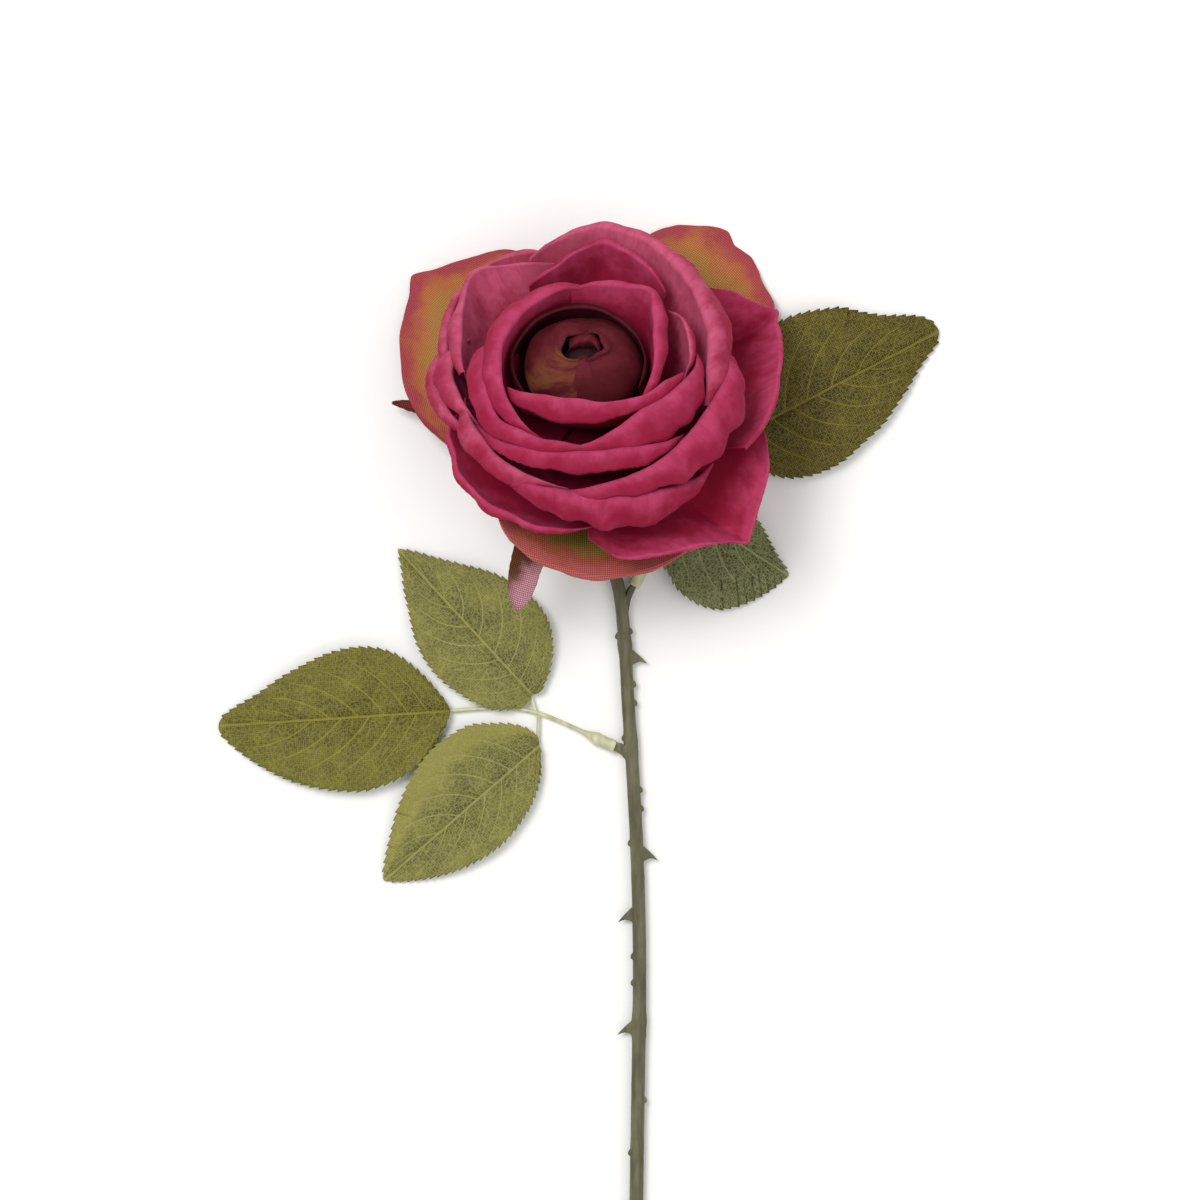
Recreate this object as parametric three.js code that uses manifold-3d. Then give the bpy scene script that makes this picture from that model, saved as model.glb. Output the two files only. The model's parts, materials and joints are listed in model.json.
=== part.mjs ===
// A cut rose of the made kind: heat-formed cloth petals and leaves on a moulded plastic stem.
// Units are millimetres. The rose lies on the plane z = 0 with its stem along -Y and its
// flower facing up, leaning towards +Y.
import * as THREE from "three";
import { LoftGeometry } from "three/addons/geometries/LoftGeometry.js";
import { mergeVertices } from "three/addons/utils/BufferGeometryUtils.js";
import Module from "manifold-3d";

const wasm = await Module();
wasm.setup();

// ---- Driving dimensions ----
const HEAD_SCALE = 1; // size of the flower head against its design size of about 115 mm
const HEAD_LEAN = 30; // degrees that the flower's axis leans from upright towards +Y
const HEAD_PLACE = new THREE.Vector2(-5, 52); // where the flower's origin is on the surface
const HEAD_REST = 24; // height of that origin above the surface, at the design size
const STEM_LENGTH = 305; // straight run from the neck to the cut end
const STEM_TOP_RADIUS = 1.95;
const STEM_END_RADIUS = 2.25;
const WIRE_RADIUS = 0.6;
const CLOTH = 0.4; // thickness of a starched cloth petal or leaf
const GAP = 0.3; // room left between pieces that touch
const LEAF_HEIGHT = 0.5; // height of a leaf's tip above the surface
const PETAL_FALL = new THREE.Vector2(12, -33).divideScalar(35); // way from one petal's foot to the next
const PETAL_FOOT = new THREE.Vector2(3, 16); // foot of the innermost petal: radius and height
const ROLL_ANGLE = 130; // degrees that a petal's rolled lip turns over
const END_LEAF_LENGTH = 70.5;
const END_LEAF_WIDTH = 44;
const SIDE_LEAF_LENGTH = 60.5;
const SIDE_LEAF_WIDTH = 37.5;
const STALK_RADIUS = 0.75; // leaf stalk
const PEG_RADIUS = 1; // peg on the stem that a leaf stalk is pushed onto
const SOCKET_WALL = 0.6; // wall of the sleeve on the leaf stalk that grips the peg
const CALYX_RADIUS = 9.4;
const CALYX_HEIGHT = 9;
const SPIGOT_RADIUS = 1.6; // pin of the receptacle that passes down through the calyx
const SPIGOT_OVER = 2; // length of the pin below the calyx
const NECK_LENGTH = 3; // length of the stem that runs in line with the pin, below it
const SEPAL_WIDTH = 10;
const SEPAL_RING_RADIUS = 6.5;
const CUP_ROOM = 0.7; // from the calyx cup to the cloth calyx on it, beyond the gap

// Petals, from the bud outwards. leave and arrive are the slopes in degrees at the foot and at
// the rim, 90 being straight up; hold is how far each slope carries. A rim point is
// [azimuth in degrees, radius, height, radius of the rolled lip].
const PETALS = {
  bud_petal_1: { leave: 50, arrive: 140, hold: 0.6,
    rim: [[20, 6.5, 41, 0], [60, 6, 42.5, 0], [100, 6, 43, 0], [150, 6.5, 41.5, 0]] },
  bud_petal_2: { leave: 50, arrive: 140, hold: 0.6,
    rim: [[95, 8, 42, 0.4], [130, 9, 42.5, 0.5], [165, 9, 42.5, 0.5], [200, 8, 42, 0.3],
      [240, 8, 40, 0.2], [262, 7, 37, 0]] },
  bud_petal_3: { leave: 51, arrive: 138, hold: 0.58,
    rim: [[-96, 7.5, 37, 0], [-75, 9, 40, 0.2], [-50, 9.5, 41, 0.3], [-20, 9.5, 41.2, 0.3],
      [15, 9.4, 40.5, 0]] },
  bud_petal_4: { leave: 54, arrive: 125, hold: 0.55,
    rim: [[-40, 14, 37, 0], [-15, 14.5, 39.5, 0.2], [15, 13.5, 41, 0.3], [50, 12, 41.5, 0.3],
      [85, 11, 42, 0]] },
  bud_petal_5: { leave: 50, arrive: 108, hold: 0.55,
    rim: [[-15, 17.8, 36, 0], [15, 17, 38, 0.3], [54, 15.5, 39, 0.4], [85, 16, 39.5, 0.4],
      [115, 16.5, 39.5, 0.4], [149, 18, 38.5, 0.3], [175, 20.5, 36.5, 0], [198, 20, 34, 0]] },
  inner_petal_1: { leave: 38, arrive: 95, hold: 0.5,
    rim: [[-45, 21, 37, 0], [-32, 21, 41, 0.4], [-10, 21, 43, 1], [10, 21, 43.6, 1.2],
      [32, 23.5, 43, 1.6], [45, 26, 42.4, 1.6], [58, 23.6, 43, 1.4], [84, 19.5, 43.5, 0.6],
      [98, 18.5, 42, 0]] },
  inner_petal_2: { leave: 37, arrive: 95, hold: 0.5,
    rim: [[-148, 24.5, 39, 0], [-139, 23.5, 42.5, 1], [-123, 20.8, 44, 1.8], [-97, 20.2, 44.8, 2],
      [-68, 22, 44.4, 1.4], [-47, 24.4, 43.6, 1], [-26, 27, 42.8, 0.8], [-18, 28.5, 41, 0]] },
  inner_petal_3: { leave: 34, arrive: 95, hold: 0.5,
    rim: [[94, 21.5, 42, 0.4], [106, 21, 44, 1.4], [132, 20.6, 44.6, 2.2], [161, 21.8, 44.4, 2.4],
      [184, 23.8, 43.8, 2.4], [210, 27, 42.6, 2], [228, 30.5, 40, 0.6]] },
  middle_petal_1: { leave: 40, arrive: 95, hold: 0.5,
    rim: [[-10, 29.5, 36, 0], [-3, 30, 38.5, 0.4], [10, 30.5, 39.6, 0.6], [22, 31, 39, 0.4],
      [32, 30, 36, 0]] },
  middle_petal_2: { leave: 40, arrive: 95, hold: 0.5,
    rim: [[-92, 31.5, 36, 0.2], [-84, 30.5, 38.5, 1], [-74, 29, 40.4, 1.6], [-52, 28.5, 41, 2.2],
      [-30, 30.5, 40.6, 2.2], [-18, 33, 39.4, 1], [-12, 34, 38, 0.2]] },
  middle_petal_3: { leave: 40, arrive: 95, hold: 0.5,
    rim: [[172, 30, 37, 0], [181, 31, 39, 0.8], [202, 32, 38.6, 0.8], [221, 34.5, 37, 0.8],
      [236, 34, 37.6, 0.8], [252, 33, 38, 0.8], [266, 33, 37, 0.2]] },
  middle_petal_4: { leave: 40, arrive: 92, hold: 0.5,
    rim: [[123, 28, 38, 0.2], [103, 31, 38.6, 0.6], [89, 36.5, 36.6, 0.8], [81, 40.5, 35, 0.8],
      [72, 37, 36, 0.8], [55, 34.4, 37, 0.6], [46, 33.5, 36, 0.2]] },
  middle_petal_5: { leave: 40, arrive: 95, hold: 0.5,
    rim: [[-129, 38.5, 34, 0.2], [-111, 36.4, 35.6, 0.8], [-91, 35, 36.6, 1.2], [-71, 35.4, 36.6, 1.2],
      [-52, 37.5, 35.6, 0.8], [-43, 39.5, 34, 0.2]] },
  outer_petal_1: { leave: 35, arrive: 90, hold: 0.5,
    rim: [[108, 34, 35.5, 0], [124, 38.4, 34.4, 1], [134, 43.5, 32, 1.4], [150, 40, 33.4, 1.4],
      [169, 36.5, 34.4, 1.2], [182, 35.5, 33.5, 0.4]] },
  outer_petal_2: { leave: 35, arrive: 85, hold: 0.5,
    rim: [[110, 37, 33.5, 0.5], [98, 41.5, 33.5, 1.4], [84, 46, 32.4, 2.2], [69, 45.5, 32.4, 2.2],
      [50, 43.5, 33, 2], [31, 41, 33.8, 2], [10, 38.4, 34.6, 2], [-8, 38, 34.6, 1.6],
      [-18, 39, 33.5, 0.4]] },
  outer_petal_3: { leave: 35, arrive: 90, hold: 0.5,
    rim: [[-90, 42.5, 31, 0.4], [-73, 42, 32.6, 1], [-58, 42, 33, 1.6], [-43, 42, 33, 2.4],
      [-31, 42.4, 33, 2.8], [-16, 43.5, 33, 2.6], [-5, 45.5, 31.5, 1]] },
  outer_petal_4: { leave: 35, arrive: 90, hold: 0.5,
    rim: [[170, 38.5, 30, 0.2], [177, 41, 30, 0.8], [184, 42, 29.6, 1], [192, 41, 30.4, 0.8],
      [202, 39.5, 30.4, 0.2]] },
  outer_petal_5: { leave: 35, arrive: 90, hold: 0.5,
    rim: [[205, 39, 29.5, 0.2], [216, 41, 30, 0.8], [225, 41.8, 29.8, 1], [236, 42.4, 29.4, 1],
      [247, 43, 28.6, 0.4]] },
  outer_petal_6: { leave: 35, arrive: 85, hold: 0.5,
    rim: [[-111, 45, 26.5, 0.4], [-99, 45, 27, 1.4], [-84, 46.5, 26, 2], [-69, 48, 24.6, 2],
      [-53, 50, 22, 1.4], [-45, 51, 20, 0.4]] },
  outer_petal_7: { leave: 30, arrive: 75, hold: 0.5,
    rim: [[128, 47, 23, 0], [138, 50.5, 21.5, 0.4], [150, 48, 24, 0.4], [164, 45, 26, 0.4],
      [176, 43.8, 25.5, 0]] },
  outer_petal_8: { leave: 30, arrive: 75, hold: 0.5,
    rim: [[97, 46, 21, 0], [106, 49.5, 21.6, 0.4], [116, 52.5, 19.5, 0.4], [127, 54, 16.5, 0.4],
      [135, 54, 14, 0]] },
  outer_petal_9: { leave: 30, arrive: 75, hold: 0.5,
    rim: [[164, 46, 20, 0], [171, 48, 19.6, 0.4], [181, 47.5, 20.2, 0.4], [190, 46, 21, 0.4],
      [200, 43.5, 21.5, 0]] },
  outer_petal_10: { leave: 30, arrive: 70, hold: 0.5,
    rim: [[203, 43.5, 19.5, 0], [209, 46, 18.6, 0.4], [217, 48.5, 17.6, 0.4], [226, 49.8, 16.8, 0.4],
      [236, 50.4, 16, 0.4], [245, 50.4, 15.4, 0.4], [254, 50, 14, 0]] },
  outer_petal_11: { leave: 26, arrive: 35, hold: 0.45,
    rim: [[45, 51, 19, 0], [37, 58, 16, 0.4], [31, 66.5, 8, 0.4], [20, 63, 11.6, 0.8],
      [7, 58.5, 15.6, 0.8], [-10, 55.4, 19, 0.8], [-22, 53.5, 20, 0.4]] },
  outer_petal_12: { leave: 22, arrive: 25, hold: 0.45,
    rim: [[-10, 54, 12, 0], [-22, 59, 9.6, 0.4], [-34, 62, 6.6, 0.4], [-41, 63.6, 4, 0.4],
      [-54, 59.6, 8, 0.4], [-68, 57, 10.4, 0.4], [-79, 55.5, 11.4, 0.4], [-87, 50, 12, 0]] },
  guard_petal_1: { leave: 10, arrive: -10, hold: 0.45,
    rim: [[-127, 43, 4.5, 0], [-117, 48, 3.4, 0.2], [-106, 51, 1.6, 0.2], [-94, 53, 0, 0.2],
      [-83, 55, -1.6, 0.2], [-69, 55, -1.6, 0.2], [-55, 54, -1.6, 0]] },
  guard_petal_2: { leave: 4, arrive: 5, hold: 0.4,
    rim: [[98, 56, 6, 0], [112, 63, 7.2, 0.2], [122, 66, 6.4, 0.2], [135, 71.5, 3.6, 0.2],
      [146, 66, -0.5, 0.2], [158, 59, -5, 0.2], [170, 51, -7, 0.2], [182, 42, -8, 0]] },
  guard_petal_3: { leave: 4, arrive: 5, hold: 0.4,
    rim: [[76, 58, 8, 0], [68, 66, 9.6, 0.2], [60, 72.5, 10, 0.2], [52, 74.5, 7.4, 0.2],
      [44, 73, 4, 0.2], [34, 68, 1, 0.2], [26, 58, 0, 0]] },
};

// Centre line of the moulded stem from below its neck, which meets the flower's pin, to the cut end.
const STEM_ROUTE = [
  [-4.2, 36, 5.2], [-1.5, 26, 3.6], [2.6, 14, 2.9], [5.6, 4, 2.6], [7.4, -12, 2.5],
  [8.6, -32, 2.4], [9.8, -50, 2.4], [11.2, -76, 2.4], [12, -121, 2.4], [11.8, -134, 2.4], [11.1, -179, 2.3],
  [10.2, -240, 2.3], [10.6, 4 - STEM_LENGTH, 2.3],
];
// Hooked thorns: [distance below the stem's top, side (1 is +X), length, height of the foot].
const THORNS = [
  [22.8, 1, 4.6, 5], [65.3, 1, 4.4, 4.6], [125.8, 1, 4.2, 4.6], [143.8, -1, 4.4, 5], [178.8, -1, 4.6, 5],
];
// Small buds where a thorn was not formed: [distance, side].
const NUBS = [
  [32.8, 1], [57.8, 1], [59.3, -1], [73.3, 1], [79.8, 1], [89.8, -1], [105.8, 1], [111.8, 1],
  [121.8, -1], [156.8, -1], [164.8, -1], [199.8, 1], [215.8, -1], [237.8, 1], [252.8, -1], [273.8, 1],
];
const THORN_HOOK = 0.45; // how far a thorn's tip drops, against the height of its foot
const NUB_RADIUS = 0.9;
const WIRE_START = 16; // distance of the wire's upper end below the stem's top

// Leaf sprays: the stem's peg, the sleeve on it, the stalk beyond the sleeve and its side stalks.
// A leaf's base and heading (degrees from +X) follow its stalk's end.
const SPRAYS = [
  {
    name: "left",
    peg: [[9.4, -46.6, 2.4], [1.6, -43.4, 2.2]],
    sleeve: [[4.6, -44.6, 2.3], [1, -43.1, 2.2], [-4.6, -40.4, 1.9]],
    stalk: [[-12.1, -37, 1.4], [-19.7, -34.1, 1.3], [-27.3, -32.9, 1.3], [-36.4, -33, 1.4],
      [-46, -33.7, 1.6]],
    sides: [[[-19.5, -34, 1.35], [-20.3, -31.5, 1.4], [-21, -28.8, 1.5]],
      [[-18.7, -34.5, 1.35], [-18.8, -38, 1.4], [-18.9, -44.6, 1.4]]],
    leaves: [
      { name: "end", base: [-45.6, -33.7], heading: 182.7, lift: 2.6, arch: 1.6, cup: 1.4, bend: 0 },
      { name: "upper", base: [-20.8, -28.6], heading: 132.7, lift: 2.4, arch: 1.6, cup: 1.4, bend: 0 },
      { name: "lower", base: [-18.8, -45.2], heading: 219.8, lift: 2.4, arch: 1.6, cup: 1.4, bend: 0 },
    ],
  },
  {
    name: "right",
    peg: [[7.2, -1.4, 2.5], [11.8, 7.2, 2.3]],
    sleeve: [[10.2, 4.2, 2.4], [12, 7.6, 2.3], [13.4, 14, 1.9]],
    stalk: [[12.6, 22, 1.3], [12.2, 33.4, 1.3], [20, 42, 1.3], [32, 46.5, 1.4], [42.5, 49.6, 1.6]],
    sides: [[[12.2, 32, 1.3], [9.6, 37.8, 1.4]], [[13, 35, 1.3], [14.4, 41.6, 1.4]]],
    leaves: [
      { name: "end", base: [41.5, 49.4], heading: 27.7, lift: 2.6, arch: 2, cup: 1, bend: 3 },
      { name: "lower", base: [9.8, 37.6], heading: -32.6, lift: 2.8, arch: 3.4, cup: 1, bend: 0 },
      { name: "hidden", base: [14.6, 41.4], heading: 80, lift: 2.6, arch: 0.6, cup: 0.6, bend: 0 },
    ],
  },
];
// Lobes of the calyx: [azimuth, reach, height of the tip] in the flower's frame.
const SEPALS = [[165, 60, -12], [250, 58, -16], [322, 44, -10], [34, 42, -9], [98, 34, -3]];

// Half outline of the foam core in the bud: radius and height.
const BUD_CORE = [[0, 17.6], [2.4, 18.4], [6.2, 23], [8.6, 28], [8.8, 33], [6, 37.6], [0, 39]];

// ---- Helpers ----
const rad = THREE.MathUtils.degToRad;
const axisTilt = new THREE.Matrix4().makeRotationX(-rad(HEAD_LEAN));
const headMatrix = new THREE.Matrix4()
  .makeTranslation(HEAD_PLACE.x, HEAD_PLACE.y, HEAD_REST * HEAD_SCALE)
  .multiply(axisTilt)
  .multiply(new THREE.Matrix4().makeScale(HEAD_SCALE, HEAD_SCALE, HEAD_SCALE));

function solid(geometry) {
  const bare = geometry.index ? geometry.toNonIndexed() : geometry.clone();
  const shape = new THREE.BufferGeometry().setAttribute("position", bare.getAttribute("position"));
  const merged = mergeVertices(shape, 1e-3);
  return new wasm.Manifold(new wasm.Mesh({
    numProp: 3,
    vertProperties: merged.attributes.position.array,
    triVerts: new Uint32Array(merged.index.array),
  }));
}

function geometryOf(made) {
  const mesh = made.getMesh();
  return new THREE.BufferGeometry()
    .setAttribute("position", new THREE.BufferAttribute(new Float32Array(mesh.vertProperties), 3))
    .setIndex(new THREE.BufferAttribute(new Uint32Array(mesh.triVerts), 1));
}

function join(geometries) {
  return geometryOf(geometries.map(solid).reduce((a, b) => a.add(b)));
}

// Closed round bar along a curve, with a radius for each place from 0 to 1.
function bar(curve, radiusAt, sides, steps) {
  const frames = curve.computeFrenetFrames(steps, false);
  const sections = [];
  for (let i = 0; i <= steps; i++) {
    const centre = curve.getPointAt(i / steps);
    const radius = radiusAt(i / steps);
    const ring = [];
    for (let j = 0; j < sides; j++) {
      const turn = (2 * Math.PI * j) / sides;
      ring.push(centre.clone()
        .addScaledVector(frames.normals[i], radius * Math.cos(turn))
        .addScaledVector(frames.binormals[i], radius * Math.sin(turn)));
    }
    sections.push(ring);
  }
  return new LoftGeometry(sections, { capStart: true, capEnd: true });
}

function line(...points) {
  return new THREE.CatmullRomCurve3(points.map((p) => new THREE.Vector3(...p)), false, "centripetal");
}

// ---- Petals ----
const PETAL_SECTIONS = 9;
const PETAL_ROWS = 4;
const LIP_ROWS = 2;

// Mid-line of a petal in one plane through the flower's axis, as radius and height, foot to lip.
function petalLine(petal, foot, radius, height, roll) {
  const crest = new THREE.Vector2(radius, height);
  const reach = petal.hold * foot.distanceTo(crest);
  const leave = new THREE.Vector2(Math.cos(rad(petal.leave)), Math.sin(rad(petal.leave)));
  const arrive = new THREE.Vector2(Math.cos(rad(petal.arrive)), Math.sin(rad(petal.arrive)));
  const curve = new THREE.CubicBezierCurve(
    foot,
    foot.clone().addScaledVector(leave, reach),
    crest.clone().addScaledVector(arrive, -0.8 * reach),
    crest,
  );
  const points = curve.getPoints(PETAL_ROWS);
  const outward = new THREE.Vector2(arrive.y, -arrive.x);
  const lip = Math.max(roll, 0.1);
  const centre = crest.clone().addScaledVector(outward, lip);
  for (let k = 1; k <= LIP_ROWS; k++) {
    const turn = rad((ROLL_ANGLE * k) / LIP_ROWS);
    points.push(centre.clone()
      .addScaledVector(outward, -lip * Math.cos(turn))
      .addScaledVector(arrive, lip * Math.sin(turn)));
  }
  return points;
}

// Ring of points round a petal's thickness in one plane through the axis.
function petalSection(points, azimuth) {
  const across = new THREE.Vector3(Math.cos(azimuth), Math.sin(azimuth), 0);
  const place = (p) => across.clone().multiplyScalar(p.x).setZ(p.y);
  const inner = [];
  const outer = [];
  points.forEach((p, i) => {
    const before = points[Math.max(i - 1, 0)];
    const after = points[Math.min(i + 1, points.length - 1)];
    const along = after.clone().sub(before).normalize();
    const side = new THREE.Vector2(along.y, -along.x).multiplyScalar(CLOTH / 2);
    inner.push(place(p.clone().sub(side)));
    outer.push(place(p.clone().add(side)));
  });
  return [...inner, ...outer.reverse()];
}

// Feet step outward and down by the cloth and the gap, so that each petal lies outside the last.
function petalFoot(level) {
  return PETAL_FOOT.clone().addScaledVector(PETAL_FALL, level * (CLOTH + GAP));
}

function petalGeometry(petal, level) {
  const foot = petalFoot(level);
  const rim = [...petal.rim].sort((a, b) => a[0] - b[0]);
  const curve = line(...rim.map(([azimuth, radius, height]) =>
    [radius * Math.cos(rad(azimuth)), radius * Math.sin(rad(azimuth)), height]));
  const sections = [];
  for (let i = 0; i < PETAL_SECTIONS; i++) {
    const t = i / (PETAL_SECTIONS - 1);
    const crest = curve.getPoint(t);
    const slot = Math.min(Math.floor(t * (rim.length - 1)), rim.length - 2);
    const roll = THREE.MathUtils.lerp(rim[slot][3], rim[slot + 1][3], t * (rim.length - 1) - slot);
    const profile = petalLine(petal, foot, Math.hypot(crest.x, crest.y), crest.z, roll);
    sections.push(petalSection(profile, Math.atan2(crest.y, crest.x)));
  }
  return new LoftGeometry(sections, { capStart: true, capEnd: true });
}

// ---- Leaves ----
const LEAF_SECTIONS = 9;

// Share of the full half width at a place from 0 at the base to 1 at the tip: ovate, widest at a third.
function leafWidth(t) {
  return Math.sin(Math.PI * t ** 0.63) ** 0.8;
}

// Thin cupped leaf that runs along +X from its base at the origin. lift is the base's height above
// the tip, arch the rise of the middle, cup the rise of the sides and bend the bow to the left.
function leafGeometry({ length, width, lift, arch, cup, bend }) {
  const sections = [];
  for (let i = 0; i <= LEAF_SECTIONS; i++) {
    const t = 0.01 + (0.98 * i) / LEAF_SECTIONS;
    const half = Math.max((width / 2) * leafWidth(t), 0.4);
    const bow = Math.sin(Math.PI * t);
    const middle = lift * (1 - t) + arch * bow;
    const edge = middle + cup * (half / (width / 2)) ** 2;
    const across = [[-half, edge], [0, middle], [half, edge]];
    const face = (side) => across.map(([y, z]) =>
      new THREE.Vector3(length * t, y + bend * bow, z + (side * CLOTH) / 2));
    sections.push([...face(-1), ...face(1).reverse()]);
  }
  return new LoftGeometry(sections, { capStart: true, capEnd: true });
}

// ---- Calyx ----
const petalCount = Object.keys(PETALS).length;
const lastFoot = petalFoot(petalCount - 1);
const wall = CLOTH / 2 + GAP; // from a petal's mid-line to the receptacle
const calyxTop = lastFoot.y - 2.6;
const calyxFoot = calyxTop - CALYX_HEIGHT;
const sepalHeight = calyxTop - GAP - CLOTH / 2;
const cupTop = sepalHeight - CLOTH / 2 - GAP - CUP_ROOM;
const pinEnd = calyxFoot - SPIGOT_OVER;

// One pointed lobe of the cloth calyx in the flower's frame, from the ring out to its tip.
function sepalGeometry(azimuth, reach, tipHeight) {
  const across = new THREE.Vector3(-Math.sin(rad(azimuth)), Math.cos(rad(azimuth)), 0);
  const outward = new THREE.Vector3(Math.cos(rad(azimuth)), Math.sin(rad(azimuth)), 0);
  const start = SPIGOT_RADIUS + GAP + 2;
  const steps = 7;
  const sections = [];
  for (let i = 0; i <= steps; i++) {
    const t = i / steps;
    const half = Math.max((SEPAL_WIDTH / 2) * Math.sin(Math.PI * (0.22 + 0.78 * t)) ** 0.7, 0.3);
    const centre = outward.clone().multiplyScalar(THREE.MathUtils.lerp(start, reach, t));
    centre.z = THREE.MathUtils.lerp(sepalHeight, tipHeight, t ** 1.3);
    const place = (y, z) => centre.clone().addScaledVector(across, y).setZ(centre.z + z);
    const low = -CLOTH / 2;
    const high = CLOTH / 2;
    sections.push([place(-half, low), place(half, low), place(half, high), place(-half, high)]);
  }
  return new LoftGeometry(sections, { capStart: true, capEnd: true });
}

// ---- Stem ----
const STEM_SIDES = 8;
const STEM_STEPS = 40;
const WIRE_STEPS = 24;
const neckTop = new THREE.Vector3(0, 0, pinEnd - GAP).applyMatrix4(headMatrix);
const neckFoot = new THREE.Vector3(0, 0, pinEnd - GAP - NECK_LENGTH).applyMatrix4(headMatrix);
const stemCurve = line(neckTop.toArray(), neckFoot.toArray(), ...STEM_ROUTE);
const stemRun = stemCurve.getLength();

// Centre of the stem and the direction to its +X side at a distance below its top.
function stemPlace(distance) {
  const at = distance / stemRun;
  const centre = stemCurve.getPointAt(at);
  const along = stemCurve.getTangentAt(at);
  const side = new THREE.Vector3(0, 0, 1).cross(along).normalize().negate();
  if (side.x < 0) side.negate();
  return { centre, along, side };
}

// Flattened hook that leaves the stem sideways and turns down towards the cut end.
function thornGeometry([distance, way, length, foot]) {
  const { centre, along, side } = stemPlace(distance);
  const out = side.multiplyScalar(way);
  const steps = 4;
  const sections = [];
  for (let i = 0; i <= steps; i++) {
    const t = i / steps;
    const middle = centre.clone()
      .addScaledVector(out, STEM_TOP_RADIUS * 0.5 + length * t)
      .addScaledVector(along, foot * THORN_HOOK * t * t);
    const tall = (foot / 2) * (1 - t) ** 1.3 + 0.12;
    const thick = 0.85 * (1 - t) + 0.1;
    const ring = [];
    for (let j = 0; j < STEM_SIDES; j++) {
      const turn = (2 * Math.PI * j * way) / STEM_SIDES;
      ring.push(middle.clone()
        .addScaledVector(along, -tall * Math.cos(turn))
        .setZ(middle.z + thick * Math.sin(turn)));
    }
    sections.push(ring);
  }
  return new LoftGeometry(sections, { capStart: true, capEnd: true });
}

function nubGeometry([distance, way]) {
  const { centre, side } = stemPlace(distance);
  const place = centre.addScaledVector(side, way * (STEM_TOP_RADIUS - 0.2));
  return new THREE.SphereGeometry(NUB_RADIUS, 6, 4).translate(place.x, place.y, place.z);
}

function stemGeometry() {
  const radiusAt = (t) => THREE.MathUtils.lerp(STEM_TOP_RADIUS, STEM_END_RADIUS, t);
  const outside = [bar(stemCurve, radiusAt, STEM_SIDES, STEM_STEPS)];
  const pegAt = (t) => PEG_RADIUS * (1.5 - 0.5 * t);
  SPRAYS.forEach(({ peg }) => outside.push(bar(line(...peg), pegAt, STEM_SIDES, 4)));
  THORNS.forEach((thorn) => outside.push(thornGeometry(thorn)));
  NUBS.forEach((nub) => outside.push(nubGeometry(nub)));
  const body = outside.map(solid).reduce((a, b) => a.add(b));
  const bore = bar(wireCurve(WIRE_START - GAP, 1), () => WIRE_RADIUS + GAP, 6, STEM_STEPS);
  return geometryOf(body.subtract(solid(bore)));
}

// Line of the steel wire inside the stem, from below the neck's top to the cut end and over past it.
function wireCurve(start, over) {
  const points = [];
  for (let i = 0; i <= WIRE_STEPS; i++) {
    points.push(stemCurve.getPointAt(THREE.MathUtils.lerp(start / stemRun, 1, i / WIRE_STEPS)));
  }
  points.at(-1).addScaledVector(stemCurve.getTangentAt(1), over);
  return new THREE.CatmullRomCurve3(points, false, "centripetal");
}

// ---- Leaf sprays ----
// Stalk with a sleeve that is pushed over the stem's peg, and short side stalks.
function stalkGeometry({ peg, sleeve, stalk, sides }) {
  const pegLine = new THREE.Vector3(...peg[1]).sub(new THREE.Vector3(...peg[0])).normalize();
  const pegTip = new THREE.Vector3(...peg[1]);
  const mouth = new THREE.Vector3(...sleeve[0]);
  const main = line(...sleeve, ...stalk);
  const sleeveShare = line(...sleeve).getLength() / main.getLength();
  const radiusAt = (t) => THREE.MathUtils.lerp(
    THREE.MathUtils.lerp(STALK_RADIUS, STALK_RADIUS * 0.75, t),
    PEG_RADIUS + GAP + SOCKET_WALL,
    1 - THREE.MathUtils.smoothstep(t, sleeveShare * 0.6, sleeveShare * 1.1),
  );
  const bars = [
    bar(main, radiusAt, STEM_SIDES, 20),
    ...sides.map((side) => bar(line(...side), () => STALK_RADIUS * 0.7, 6, 3)),
  ];
  const boreStart = mouth.clone().addScaledVector(pegLine, -1);
  const boreEnd = pegTip.clone().addScaledVector(pegLine, 2 * GAP);
  const bore = bar(new THREE.LineCurve3(boreStart, boreEnd), () => PEG_RADIUS + GAP, STEM_SIDES, 2);
  return geometryOf(bars.map(solid).reduce((a, b) => a.add(b)).subtract(solid(bore)));
}

// ---- Materials ----
const finish = (color, roughness) => new THREE.MeshStandardMaterial({ color, roughness, metalness: 0 });
const budCloth = finish(0x5e2022, 0.9);
const petalCloth = finish(0xa8274c, 0.85);
const guardCloth = finish(0xb87840, 0.85);
const leafCloth = finish(0x6c6c2c, 0.8);
const stemPlastic = finish(0x6a6f56, 0.6);
const stalkPlastic = finish(0xcfcf9f, 0.5);
const sepalCloth = finish(0x75602f, 0.85);
const foam = finish(0x7a3a2a, 0.95);
const wireSteel = new THREE.MeshStandardMaterial({ color: 0x8a8d90, roughness: 0.4, metalness: 1 });

const rose = new THREE.Group();
const head = new THREE.Group();
head.applyMatrix4(headMatrix);
rose.add(head);

function add(parent, name, geometry, material) {
  const mesh = new THREE.Mesh(geometry, material);
  mesh.name = name;
  parent.add(mesh);
  return mesh;
}

// ---- Flower head ----
Object.entries(PETALS).forEach(([name, petal], level) => {
  const kind = name.split("_")[0];
  const cloth = { bud: budCloth, guard: guardCloth }[kind] ?? petalCloth;
  add(head, name, petalGeometry(petal, level), cloth);
});

function lathe(profile, segments) {
  const geometry = new THREE.LatheGeometry(profile.map(([r, h]) => new THREE.Vector2(r, h)), segments);
  return geometry.rotateX(Math.PI / 2);
}

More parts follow.
